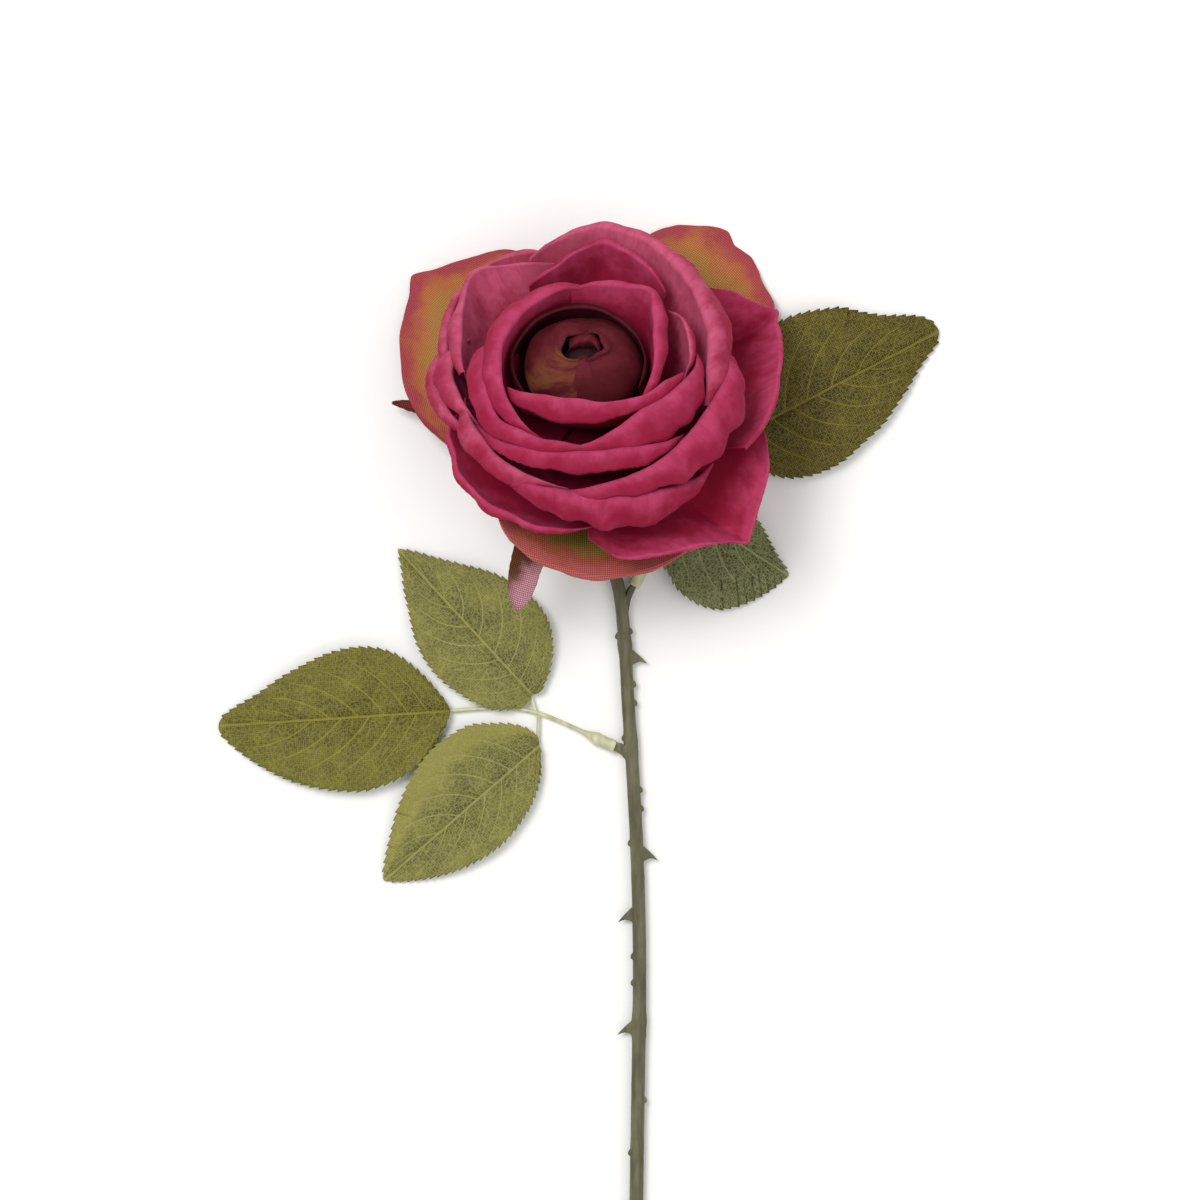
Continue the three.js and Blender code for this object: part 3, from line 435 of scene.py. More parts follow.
def mottle(tree, vector, size, detail=3):
    """Soft blotches about as wide as size, in metres."""
    return node(tree, "ShaderNodeTexNoise",
                {"Vector": vector, "Scale": 1 / size, "Detail": detail, "Roughness": 0.55}).outputs[0]


def place_map(tree):
    """Shares of the way across a piece and from its foot to its edge."""
    uv = node(tree, "ShaderNodeUVMap", uv_map="place").outputs[0]
    split = node(tree, "ShaderNodeSeparateXYZ", {0: uv})
    return split.outputs[0], split.outputs[1]


# Heat-formed polyester cloth, dyed: matt, with a faint pile that catches the light on turned lips. The crests' pink
# is partly dye and partly a painted highlight, and painted shade takes it back to the body colour towards a lip's
# cut edge and the petal's ends.
def dyed_petal_cloth(name, deep, middle, lip, thread, weave_depth=0.00002, weave_shade=0.03, flush=None,
                     spread=0, ends=0.65):
    material, tree, shader = new_material(name)
    cloth = node(tree, "ShaderNodeUVMap", uv_map="cloth").outputs[0]
    across, along = place_map(tree)
    height = weave(tree, thread)
    blot = mottle(tree, cloth, 7 * MM)
    streaks = node(tree, "ShaderNodeMapping", {0: cloth, 3: (1, 0.22, 1)}).outputs[0]
    streak = mottle(tree, streaks, 1.6 * MM, 4)
    drift = sum_of(tree, sum_of(tree, blot, 0.5, "SUBTRACT"), 0.42, "MULTIPLY")
    level = sum_of(tree, along, drift)
    body = blend(tree, ramp(tree, level, 0.08 - spread, 0.40 - spread), deep, middle)
    # Lip colour at the crest: partly dye, partly a painted highlight on the turned crest. Towards the lip's cut
    # edge it falls back to the body colour, as painted shade where the lip turns down away from the light.
    crest = sum_of(tree, ramp(tree, level, 0.34 - spread, 0.62 - spread), ramp(tree, level, 1.0, 0.68),
                   "MULTIPLY")
    # Towards both ends of the petal the crest's pink gives way to the body colour: painted shade where neighbouring
    # petals overlap the ends. ends sets how much.
    side = sum_of(tree, sum_of(tree, across, 0.5, "SUBTRACT"), 0, "ABSOLUTE")
    crest = sum_of(tree, crest, ramp(tree, side, 0.5, 0.3, 1 - ends, 1), "MULTIPLY")
    dyed = blend(tree, crest, body, lip)
    if flush:
        middle_share = ramp(tree, sum_of(tree, sum_of(tree, across, 0.8, "SUBTRACT"), 0, "ABSOLUTE"), 0.34,
                            0.08)
        dyed = blend(tree, sum_of(tree, middle_share, ramp(tree, blot, 0.35, 0.6), "MULTIPLY"), dyed, flush)
    dyed = blend(tree, ramp(tree, streak, 0.42, 0.75, 0, 0.3), dyed, middle)
    patch = mottle(tree, cloth, 3.2 * MM, 5)
    shade = blend(tree, ramp(tree, patch, 0.62, 0.34), dyed, deep)
    dyed = blend(tree, 0.16, dyed, shade)
    painted_shade = blend(tree, 1.0, dyed, (1 - 2.4 * weave_shade,) * 3 + (1,), "MULTIPLY")
    dyed = blend(tree, ramp(tree, height, 0.05, 0.75), painted_shade, dyed)
    rough = ramp(tree, blot, 0.2, 0.8, 0.7, 0.88)
    bump = node(tree, "ShaderNodeBump", {"Strength": 1, "Distance": weave_depth,
                                         "Height": height}).outputs[0]
    crease = node(tree, "ShaderNodeBump", {"Strength": 0.5, "Distance": 0.00008, "Height": streak,
                                           "Normal": bump})
    for socket, value in {"Base Color": dyed, "Roughness": rough, "Normal": crease.outputs[0]}.items():
        tree.links.new(value, shader.inputs[socket])
    shader.inputs["IOR"].default_value = 1.5
    shader.inputs["Specular IOR Level"].default_value = 0.14
    shader.inputs["Subsurface Weight"].default_value = 0.2
    shader.inputs["Subsurface Radius"].default_value = (1, 0.2, 0.3)
    shader.inputs["Subsurface Scale"].default_value = 0.0025
    shader.inputs["Sheen Weight"].default_value = 0.1
    shader.inputs["Sheen Roughness"].default_value = 0.45
    shader.inputs["Sheen Tint"].default_value = lip
    return material


# Open polyester voile dyed gold in the middle and pink at the margin: its threads stay in plain sight.
def dyed_guard_cloth(name, inner, gold, margin, thread, shade=0.24):
    material, tree, shader = new_material(name)
    cloth = node(tree, "ShaderNodeUVMap", uv_map="cloth").outputs[0]
    across, along = place_map(tree)
    height = weave(tree, thread)
    blot = mottle(tree, cloth, 9 * MM)
    edge = sum_of(tree, sum_of(tree, sum_of(tree, across, 0.5, "SUBTRACT"), 0, "ABSOLUTE"), 2, "MULTIPLY")
    rim = ramp(tree, along, 0.28, CREST_SHARE)
    out = sum_of(tree, sum_of(tree, edge, 0.9, "MULTIPLY"), rim, "MAXIMUM")
    level = sum_of(tree, out, sum_of(tree, sum_of(tree, blot, 0.5, "SUBTRACT"), 0.9, "MULTIPLY"))
    dyed = blend(tree, ramp(tree, level, 0.25, 0.66), inner, gold)
    dyed = blend(tree, ramp(tree, level, 0.58, 0.98), dyed, margin)
    painted_shade = blend(tree, 1.0, dyed, (1 - 2.2 * shade, 1 - 2.6 * shade, 1 - 2.4 * shade, 1), "MULTIPLY")
    dyed = blend(tree, ramp(tree, height, 0.05, 0.6), painted_shade, dyed)
    bump = node(tree, "ShaderNodeBump", {"Strength": 1, "Distance": 0.00012, "Height": height}).outputs[0]
    tree.links.new(dyed, shader.inputs["Base Color"])
    tree.links.new(bump, shader.inputs["Normal"])
    shader.inputs["Roughness"].default_value = 0.7
    shader.inputs["IOR"].default_value = 1.5
    shader.inputs["Specular IOR Level"].default_value = 0.15
    shader.inputs["Sheen Weight"].default_value = 0.06
    return material


# Open polyester voile as on the guard petals, dyed from brown at the stem to another colour at the tip.
def dyed_lobe_cloth(name, brown, tip, thread):
    material, tree, shader = new_material(name)
    cloth = node(tree, "ShaderNodeUVMap", uv_map="cloth").outputs[0]
    across, along = place_map(tree)
    height = weave(tree, thread)
    blot = mottle(tree, cloth, 4 * MM)
    slant = sum_of(tree, along, sum_of(tree, sum_of(tree, across, 0.5, "SUBTRACT"), 0.3, "MULTIPLY"))
    level = sum_of(tree, slant, sum_of(tree, sum_of(tree, blot, 0.5, "SUBTRACT"), 0.3, "MULTIPLY"))
    dyed = blend(tree, ramp(tree, level, 0.66, 0.9), brown, tip)
    # Gaps between the threads are darkened: painted shade between the threads.
    painted_shade = blend(tree, 1.0, dyed, (0.42, 0.36, 0.36, 1), "MULTIPLY")
    dyed = blend(tree, ramp(tree, height, 0.05, 0.6), painted_shade, dyed)
    bump = node(tree, "ShaderNodeBump", {"Strength": 1, "Distance": 0.00012, "Height": height}).outputs[0]
    tree.links.new(dyed, shader.inputs["Base Color"])
    tree.links.new(bump, shader.inputs["Normal"])
    shader.inputs["Roughness"].default_value = 0.72
    shader.inputs["IOR"].default_value = 1.5
    shader.inputs["Specular IOR Level"].default_value = 0.15
    return material


# Stiffened polyester cloth with a printed net of veins under a thin matt wax.
def printed_leaf_cloth(name, ground, painted_shade, vein, thread, net=0.5, weave_shade=0.1, band=None):
    material, tree, shader = new_material(name)
    cloth = node(tree, "ShaderNodeUVMap", uv_map="cloth").outputs[0]
    along, across = place_map(tree)
    height = weave(tree, thread)
    cells = node(tree, "ShaderNodeTexVoronoi", {"Vector": cloth, "Scale": 1 / (1.05 * MM), "Randomness": 1},
                 feature="DISTANCE_TO_EDGE").outputs[0]
    broad = node(tree, "ShaderNodeTexVoronoi", {"Vector": cloth, "Scale": 1 / (2.6 * MM), "Randomness": 1},
                 feature="DISTANCE_TO_EDGE").outputs[0]
    blot = mottle(tree, cloth, 9 * MM)
    side = sum_of(tree, sum_of(tree, across, 0.5, "SUBTRACT"), 0, "ABSOLUTE")
    lean = sum_of(tree, sum_of(tree, across, 0.5, "GREATER_THAN"), 0.4, "MULTIPLY")
    lean = sum_of(tree, lean, sum_of(tree, side, VEIN_SWEEP, "MULTIPLY"), "SUBTRACT")
    phase = sum_of(tree, sum_of(tree, sum_of(tree, sum_of(tree, along, SIDE_VEINS, "MULTIPLY"), lean), 9),
                   1, "FRACT")
    off = sum_of(tree, sum_of(tree, phase, 0.5, "SUBTRACT"), 0, "ABSOLUTE")
    branch = ramp(tree, off, 0.06, 0.015)
    branch = sum_of(tree, branch, ramp(tree, side, 0.47, 0.3), "MULTIPLY")
    shape = node(tree, "ShaderNodeSeparateXYZ", {0: cloth})
    rib_off = sum_of(tree, shape.outputs[1], 0, "ABSOLUTE")
    rib = ramp(tree, rib_off, 0.6 * MM, 0.2 * MM)
    # Random mottle, and darker towards the midrib: painted shade in the pressed, cupped middle of the leaf.
    mottle_and_rib_shade = sum_of(tree, ramp(tree, blot, 0.3, 0.7), ramp(tree, side, 0.02, 0.34, 0.55, 0), "ADD")
    printed = blend(tree, sum_of(tree, mottle_and_rib_shade, 0.75, "MULTIPLY"), ground, painted_shade)
    if band:
        printed = blend(tree, ramp(tree, sum_of(tree, across, sum_of(tree, blot, 0.12, "MULTIPLY")), 0.3,
                                   0.2),
                        printed, band)
    lines = sum_of(tree, ramp(tree, cells, 0.15, 0.04, 0, net), ramp(tree, broad, 0.05, 0.01, 0, net * 1.1),
                   "MAXIMUM")
    printed = blend(tree, lines, printed, vein)
    printed = blend(tree, sum_of(tree, branch, 0.75, "MULTIPLY"), printed, vein)
    printed = blend(tree, sum_of(tree, rib, 0.85, "MULTIPLY"), printed, vein)
    shaded = blend(tree, 1.0, printed, (1 - 2.6 * weave_shade,) * 3 + (1,), "MULTIPLY")
    printed = blend(tree, ramp(tree, height, 0.05, 0.7), shaded, printed)
    bump = node(tree, "ShaderNodeBump", {"Strength": 1, "Distance": 0.00005, "Height": height}).outputs[0]
    relief = node(tree, "ShaderNodeBump", {"Strength": 0.7, "Distance": 0.0002, "Height": lines,
                                           "Normal": bump})
    tree.links.new(printed, shader.inputs["Base Color"])
    tree.links.new(relief.outputs[0], shader.inputs["Normal"])
    shader.inputs["Roughness"].default_value = 0.58
    shader.inputs["IOR"].default_value = 1.5
    shader.inputs["Specular IOR Level"].default_value = 0.2
    return material


# Injection-moulded polyethylene: waxy and matt, with a dusty bloom and flow streaks along the part.
def moulded_plastic(name, ground, bloom, streak_size, rough=0.5, glow=0.0):
    material, tree, shader = new_material(name)
    at = node(tree, "ShaderNodeTexCoord").outputs["Object"]
    long = node(tree, "ShaderNodeMapping", {0: at, 3: (1, 0.18, 1)}).outputs[0]
    streak = mottle(tree, long, streak_size, 4)
    grain = mottle(tree, at, 0.35 * MM, 2)
    patch = mottle(tree, at, 9 * MM, 2)
    base = blend(tree, ramp(tree, streak, 0.35, 0.68), ground, bloom)
    base = blend(tree, ramp(tree, patch, 0.35, 0.75, 0, 0.35), base, (0.05, 0.05, 0.03, 1))
    both = sum_of(tree, sum_of(tree, grain, 0.35, "MULTIPLY"), streak)
    bump = node(tree, "ShaderNodeBump", {"Strength": 0.8, "Distance": 0.00016, "Height": both}).outputs[0]
    tree.links.new(base, shader.inputs["Base Color"])
    tree.links.new(ramp(tree, grain, 0.2, 0.8, rough - 0.08, rough + 0.1), shader.inputs["Roughness"])
    tree.links.new(bump, shader.inputs["Normal"])
    shader.inputs["IOR"].default_value = 1.51
    shader.inputs["Specular IOR Level"].default_value = 0.25
    shader.inputs["Subsurface Weight"].default_value = glow
    shader.inputs["Subsurface Radius"].default_value = (0.002, 0.002, 0.001)
    shader.inputs["Subsurface Scale"].default_value = 0.6
    return material


# Expanded polystyrene foam, carved and sprayed: small closed beads under a dull coat.
def sprayed_foam(name, ground, low):
    material, tree, shader = new_material(name)
    at = node(tree, "ShaderNodeTexCoord").outputs["Object"]
    beads = node(tree, "ShaderNodeTexVoronoi", {"Vector": at, "Scale": 1 / (2.2 * MM)}).outputs[0]
    bump = node(tree, "ShaderNodeBump", {"Strength": 0.8, "Distance": 0.0004, "Height": beads}, invert=True)
    tree.links.new(blend(tree, ramp(tree, beads, 0.2, 0.7), ground, low), shader.inputs["Base Color"])
    tree.links.new(bump.outputs[0], shader.inputs["Normal"])
    shader.inputs["Roughness"].default_value = 0.9
    return material


# Drawn steel wire: fine lines along its length and a dull grey shine.
def drawn_wire(name, ground, low):
    material, tree, shader = new_material(name)
    at = node(tree, "ShaderNodeTexCoord").outputs["Object"]
    long = node(tree, "ShaderNodeMapping", {0: at, 3: (1, 0.02, 1)}).outputs[0]
    lines = mottle(tree, long, 0.12 * MM, 3)
    bump = node(tree, "ShaderNodeBump", {"Strength": 0.5, "Distance": 0.00002, "Height": lines}).outputs[0]
    tree.links.new(blend(tree, lines, ground, low), shader.inputs["Base Color"])
    tree.links.new(ramp(tree, lines, 0.2, 0.8, 0.28, 0.45), shader.inputs["Roughness"])
    tree.links.new(bump, shader.inputs["Normal"])
    shader.inputs["Metallic"].default_value = 1
    return material


# Matt painted board: the faintest tooth of a rolled coat.
def painted_board(name, ground):
    material, tree, shader = new_material(name)
    at = node(tree, "ShaderNodeTexCoord").outputs["Object"]
    grain = mottle(tree, at, 1.5 * MM, 2)
    shade = blend(tree, ramp(tree, grain, 0.3, 0.7, 0, 0.02), ground, (0.8, 0.8, 0.8, 1))
    tree.links.new(shade, shader.inputs["Base Color"])
    shader.inputs["Roughness"].default_value = 0.95
    shader.inputs["Specular IOR Level"].default_value = 0.1
    return material


SIDE_VEINS = 9  # side veins on each half of a leaf, as the print and the pressed relief share them
VEIN_SWEEP = 4.4  # spacings that a side vein runs towards the tip from rib to margin


# ---- Shaping ----
def direction(degrees):
    return Vector((math.cos(math.radians(degrees)), math.sin(math.radians(degrees))))


def bezier(a, b, c, d, t):
    s = 1 - t
    return a * s ** 3 + b * (3 * s * s * t) + c * (3 * s * t * t) + d * t ** 3


def smooth_line(points, count, distance=None, ease=1):
    """Points at even places on a line through the given ones, spaced by their distances apart.

    ease is 1 for a smooth line, and less for one that turns more sharply at the given points."""
    points = [Vector(p) for p in points]
    distance = distance or (lambda a, b: (a - b).length)
    gaps = [max(distance(a, b), 1e-6) for a, b in zip(points, points[1:])]
    slopes = [(b - a) / gap for a, b, gap in zip(points, points[1:], gaps)]
    bends = [slopes[0]]
    for before, after, left, right in zip(slopes, slopes[1:], gaps, gaps[1:]):
        bends.append((before * right + after * left) / (left + right))
    bends.append(slopes[-1])
    bends = [bend * ease for bend in bends]
    line, piece, passed = [], 0, 0
    for i in range(count):
        at = sum(gaps) * i / (count - 1)
        while piece < len(gaps) - 1 and at > passed + gaps[piece]:
            passed += gaps[piece]
            piece += 1
        gap = gaps[piece]
        t = min((at - passed) / gap, 1)
        line.append(points[piece] * (2 * t ** 3 - 3 * t * t + 1) + bends[piece] * gap * (t ** 3 - 2 * t * t + t)
                    + points[piece + 1] * (3 * t * t - 2 * t ** 3) + bends[piece + 1] * gap * (t ** 3 - t * t))
    return line


def running(points):
    """Distance along a row of points, from 0."""
    total = [0]
    for a, b in zip(points, points[1:]):
        total.append(total[-1] + (b - a).length)
    return total


def ripple(*place):
    return noise.noise(Vector((*place, 0, 0)[:3]))


def cloth_grid(columns, rows):
    """Flat grid, and its vertices by [column][row]."""
    bm = bmesh.new()
    bmesh.ops.create_grid(bm, x_segments=columns - 1, y_segments=rows - 1, size=0.5)
    table = [[None] * rows for _ in range(columns)]
    for vert in bm.verts:
        table[round((vert.co.x + 0.5) * (columns - 1))][round((vert.co.y + 0.5) * (rows - 1))] = vert
    return bm, table


def map_grid(bm, table, cloth, place):
    """Writes the cloth map in metres and the place map, given for each [column][row]."""
    layers = [(bm.loops.layers.uv.new("cloth"), cloth), (bm.loops.layers.uv.new("place"), place)]
    for layer, values in layers:
        found = {vert: values[i][j] for i, column in enumerate(table) for j, vert in enumerate(column)}
        for face in bm.faces:
            for loop in face.loops:
                loop[layer].uv = found[loop.vert]


def add_piece(bm, name, material, nodes, slot, matrix=LAYOUT, wall=0):
    """Makes the object from a mesh in layout millimetres, hangs it on the root body and hides the frame's parts
    that it stands for.
    """
    bmesh.ops.transform(bm, matrix=matrix, verts=bm.verts)
    mesh = bpy.data.meshes.new(name)
    bm.to_mesh(mesh)
    bm.free()
    mesh.shade_smooth()
    piece = bpy.data.objects.new(name, mesh)
    bpy.context.scene.collection.objects.link(piece)
    mesh.materials.append(material)
    if wall:
        shell = piece.modifiers.new("wall", "SOLIDIFY")
        shell.thickness = wall
        shell.offset = 0
    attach(piece, "root")
    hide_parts(*nodes)
    return piece


# ---- Petals ----
LIP_DROP = 0.62  # fall of a turned lip against its reach


def petal_line(petal, foot, crest, reach, arrive):
    """Radius and height of a petal's middle from foot to crest, then over its turned lip."""
    leave, arrive = direction(petal["leave"]), direction(arrive)
    out = Vector((arrive.y, -arrive.x))
    span = petal["hold"] * (crest - foot).length
    body = [bezier(foot, foot + leave * span, crest - arrive * 0.8 * span, crest,
                   1 - (1 - i / BODY_ROWS) ** 1.5)
            for i in range(BODY_ROWS)]
    lip = [bezier(crest, crest + arrive * 0.3 * reach, crest + arrive * 0.42 * reach + out * 0.66 * reach,
                  crest + out * reach - arrive * LIP_DROP * reach, i / LIP_ROWS)
           for i in range(LIP_ROWS + 1)]
    return body + lip


def petal_mesh(petal, level):
    """Mesh of a petal on the flower's axis, with its flat width, length and area in metres."""
    def apart(a, b):
        return (round_point(a) - round_point(b)).length

    def round_point(p):
        return Vector((*(direction(p[0]) * p[1]), p[2]))

    points = [(*point, petal["arrive"])[:5] for point in petal["rim"]]
    rim = smooth_line(points, PETAL_COLUMNS, apart, RIM_EASE)
    rim_run = running([round_point(p) for p in rim])
    foot = PETAL_FOOT + PETAL_PITCH * level
    bm, table = cloth_grid(PETAL_COLUMNS, BODY_ROWS + LIP_ROWS + 1)
    for i, (azimuth, radius, height, reach, arrive) in enumerate(rim):
        wave = ripple(rim_run[i] / 7, level * 7.3)
        roll = ripple(rim_run[i] / 6, level * 5.1 + 40)
        ragged = ripple(rim_run[i] / 0.9, level * 3.7 + 80)
        crest = Vector((radius, height + RIM_WAVE * wave))
        reach = max(reach * (1 + LIP_WAVE * roll) + RAGGED * ragged, 0.15)
        across = direction(azimuth)
        for vert, (r, h) in zip(table[i], petal_line(petal, foot, crest, reach, arrive)):
            vert.co = (*(across * r), h)
    rows = list(zip(*table))
    widths = [running([vert.co for vert in row]) for row in rows]
    lengths = [running([vert.co for vert in column]) for column in table]
    bm.normal_update()
    cloth, place = [], []
    for i, column in enumerate(table):
        cloth.append([((widths[j][i] - widths[j][-1] / 2) * MM,
                       lengths[i][j] * MM) for j in range(len(rows))])
        place.append([(i / (PETAL_COLUMNS - 1), CREST_SHARE * j / BODY_ROWS if j < BODY_ROWS
                       else CREST_SHARE + (1 - CREST_SHARE) * (j - BODY_ROWS) / LIP_ROWS)
                      for j in range(len(rows))])
        for j, vert in enumerate(column):
            x, y = widths[j][i], lengths[i][j]
            free = min(1, y / 12)  # the foot stays as it is glued
            soft = ripple(x / 9, y / 13, level * 2.7)
            crease = ripple(x / 2.1, y / 16, level * 4.9)
            vert.co += vert.normal * free * (SOFT_BEND * soft + CREASE * crease)
    map_grid(bm, table, cloth, place)
    area = sum(face.calc_area() for face in bm.faces) * MM * MM
    return bm, max(w[-1] for w in widths) * MM, max(v[-1] for v in lengths) * MM, area


RIM_EASE = 0.62  # how smoothly a rim turns at its points
RIM_WAVE = 0.7  # millimetres that a rim rises and falls
LIP_WAVE = 0.22  # share that a lip's reach varies
RAGGED = 0.22  # millimetres of roughness on the cut edge
SOFT_BEND = 0.55  # millimetres of broad unevenness left by the forming
CREASE = 0.08  # millimetres of fine creases along a petal


def add_petal(name, material, slot):
    """Builds one petal as a sheet of cloth."""
    bm, width, height, area = petal_mesh(PETALS[name], list(PETALS).index(name))
    wall = bpy.context.scene.rose_petals.cloth
    piece = add_piece(bm, name + "_cloth", material, [name], slot, HEAD, wall)
    return piece


def petals_of(kind):
    return [name for name in PETALS if name.startswith(kind)]


# ---- Leaves ----
def leaf_half(points, tooth):
    """One half of a leaf's outline as cut, with saw teeth that point to the tip."""
    rows = LEAF_TEETH * TOOTH_ROWS + 1
    line = smooth_line([Vector(p) for p in points], rows)
    made = []
    for i, point in enumerate(line):
        along = (line[min(i + 1, rows - 1)] - line[max(i - 1, 0)]).normalized()
        out = Vector((-along.y, along.x))
        share = i / (rows - 1)
        fade = min(1, share / 0.1, (1 - share) / 0.03)
        rise = (i % TOOTH_ROWS) / (TOOTH_ROWS - 1) - 0.5
        vary = 1 + 0.35 * ripple(i / TOOTH_ROWS * 0.9, len(points))
        made.append(point + (out * 0.8 + along * 0.6) * rise * tooth * fade * vary)
    return made


def leaf_mesh(leaf, tooth):
    """Mesh of a leaf in the part's layout, with its flat width, length and area in metres."""
    rows = LEAF_TEETH * TOOTH_ROWS + 1
    halves = {1: leaf_half(leaf["left"], tooth), -1: leaf_half(leaf["right"], tooth)}
    bm, table = cloth_grid(rows, LEAF_COLUMNS + 1)
    run, widest = leaf["length"], max(p.y for half in halves.values() for p in half)
    cloth, place = [], []
    seed = len(leaf["left"]) + leaf["heading"]
    for i, column in enumerate(table):
        share = i / (rows - 1)
        rib = Vector((run * share ** 1.35, 0))
        cloth.append([])
        place.append([])
        for j, vert in enumerate(column):
            even = 2 * j / LEAF_COLUMNS - 1
            t = math.copysign(abs(even) ** 1.25, even)
            side = 1 if t >= 0 else -1
            edge = halves[side][i]
            flat = rib.lerp(edge, abs(t))
            flat.x -= VEIN_BOW * math.sin(math.pi * abs(t)) * math.sin(math.pi * share)
            x, y = flat.x, side * flat.y
            cloth[-1].append((x * MM, y * MM))
            place[-1].append((share, (t + 1) / 2))
            phase = share * SIDE_VEINS + (0.4 if side > 0 else 0) - VEIN_SWEEP * abs(t) / 2
            vein = abs(phase % 1 - 0.5) * run / SIDE_VEINS
            inner = min(1, abs(y) / 1.2) * min(1, (1 - abs(t)) / 0.35)
            relief = PUFF * inner * (1 - math.exp(-(vein / 0.9) ** 2)) + RIB_DEPTH * (1 - math.exp(-(y / 1.1) ** 2))
            along = min(max(x / run, 0), 1)
            bow = math.sin(math.pi * along)
            z = leaf["lift"] * (1 - along) + leaf["arch"] * bow + leaf["cup"] * (abs(y) / widest) ** 2
            z += relief - RIB_DEPTH + LEAF_WAVE * ripple(x / 11, y / 9, seed) * min(1, abs(t) * 1.4)
            vert.co = (x, y + leaf["bend"] * bow, max(z, 0.05))
    map_grid(bm, table, cloth, place)
    area = sum(face.calc_area() for face in bm.faces) * MM * MM
    width = (max(p.y for p in halves[1]) + max(p.y for p in halves[-1])) * MM
    turn = Matrix.Rotation(math.radians(leaf["heading"]), 4, "Z")
    bmesh.ops.transform(bm, matrix=Matrix.Translation((*leaf["base"], LEAF_HEIGHT)) @ turn, verts=bm.verts)
    return bm, width, run * MM, area


VEIN_BOW = 2.4  # millimetres that a side vein sags towards the base
PUFF = 0.38  # millimetres that the cloth stands up between side veins
RIB_DEPTH = 0.5  # millimetres that the midrib is pressed in
LEAF_WAVE = 0.7  # millimetres of waviness towards the margin


# ---- Tubes and turned pieces ----
def rings_along(route, step):
    """Even places on the route, and the frame at each, carried along without twist."""
    rough = smooth_line([Vector(p) for p in route], 400)
    count = max(round(running(rough)[-1] / step), 3) + 1
    line = smooth_line([Vector(p) for p in route], count)
    frames, up = [], Vector((0, 0, 1))
    for i, point in enumerate(line):
        along = (line[min(i + 1, count - 1)] - line[max(i - 1, 0)]).normalized()
        side = along.cross(up).normalized()
        up = side.cross(along)
        frames.append(Matrix.Translation(point) @ Matrix((side, up, along)).transposed().to_4x4())
    return frames


def tube(bm, route, radius_at, sides, step):
    """Closed tube along the route. Returns its frames and its two end faces."""
    frames = rings_along(route, step)
    ring = bmesh.ops.create_circle(bm, segments=sides, radius=radius_at(0), matrix=frames[0])["verts"]
    edges = [edge for edge in bm.edges if edge.verts[0] in ring and edge.verts[1] in ring]
    first, before, last = list(edges), frames[0], radius_at(0)
    for i, place in enumerate(frames[1:], 1):
        radius = radius_at(i / (len(frames) - 1))
        made = bmesh.ops.extrude_edge_only(bm, edges=edges)["geom"]
        edges = [g for g in made if isinstance(g, bmesh.types.BMEdge)]
        verts = [g for g in made if isinstance(g, bmesh.types.BMVert)]
        grow = Matrix.Diagonal((radius / last, radius / last, 1, 1))
        bmesh.ops.transform(bm, matrix=place @ grow @ before.inverted(), verts=verts)
        before, last = place, radius
    ends = [bmesh.ops.contextual_create(bm, geom=rim)["faces"][0] for rim in (first, edges)]
    bmesh.ops.recalc_face_normals(bm, faces=bm.faces)
    return frames, ends


def grow(bm, patch, stations):
    """Draws a patch of faces out through stations of (centre, size against the patch)."""
    size = 1
    for centre, share in stations:
        made = bmesh.ops.extrude_face_region(bm, geom=patch)["geom"]
        patch = [g for g in made if isinstance(g, bmesh.types.BMFace)]
        verts = [g for g in made if isinstance(g, bmesh.types.BMVert)]
        middle = sum((v.co for v in verts), Vector()) / len(verts)
        for vert in verts:
            vert.co = Vector(centre) + (vert.co - middle) * share / size
        size = share
    return patch


def patch_at(bm, point, along, out, half_length, half_width):
    """Faces within half_length along the stem and half_width round it from a point on its skin."""
    side = along.cross(out)
    found = []
    for face in bm.faces:
        step = face.calc_center_median() - point
        near = abs(step.dot(along)) < half_length and abs(step.dot(side)) < half_width
        if near and face.normal.dot(out) > 0.25 and abs(step.dot(out)) < 1.5:
            found.append(face)
    return found


def turned(profile, steps=48):
    """Closed body turned round the flower's axis from a profile of radius and height."""
    bm = bmesh.new()
    verts = [bm.verts.new((r, 0, h)) for r, h in profile]
    edges = [bm.edges.new(pair) for pair in zip(verts, verts[1:])]
    bmesh.ops.spin(bm, geom=verts + edges, cent=(0, 0, 0), axis=(0, 0, 1), angle=math.tau, steps=steps,
                   use_merge=True)
    bmesh.ops.remove_doubles(bm, verts=bm.verts, dist=1e-4)
    bmesh.ops.recalc_face_normals(bm, faces=bm.faces)
    return bm


def subdivide(piece, levels=1):
    smooth = piece.modifiers.new("smooth", "SUBSURF")
    smooth.levels = smooth.render_levels = levels


def sharpen(bm, faces, rim=0.25):
    """Insets end faces, so that a cut end stays flat and crisp when the skin is smoothed."""
    bmesh.ops.inset_region(bm, faces=faces, thickness=rim)


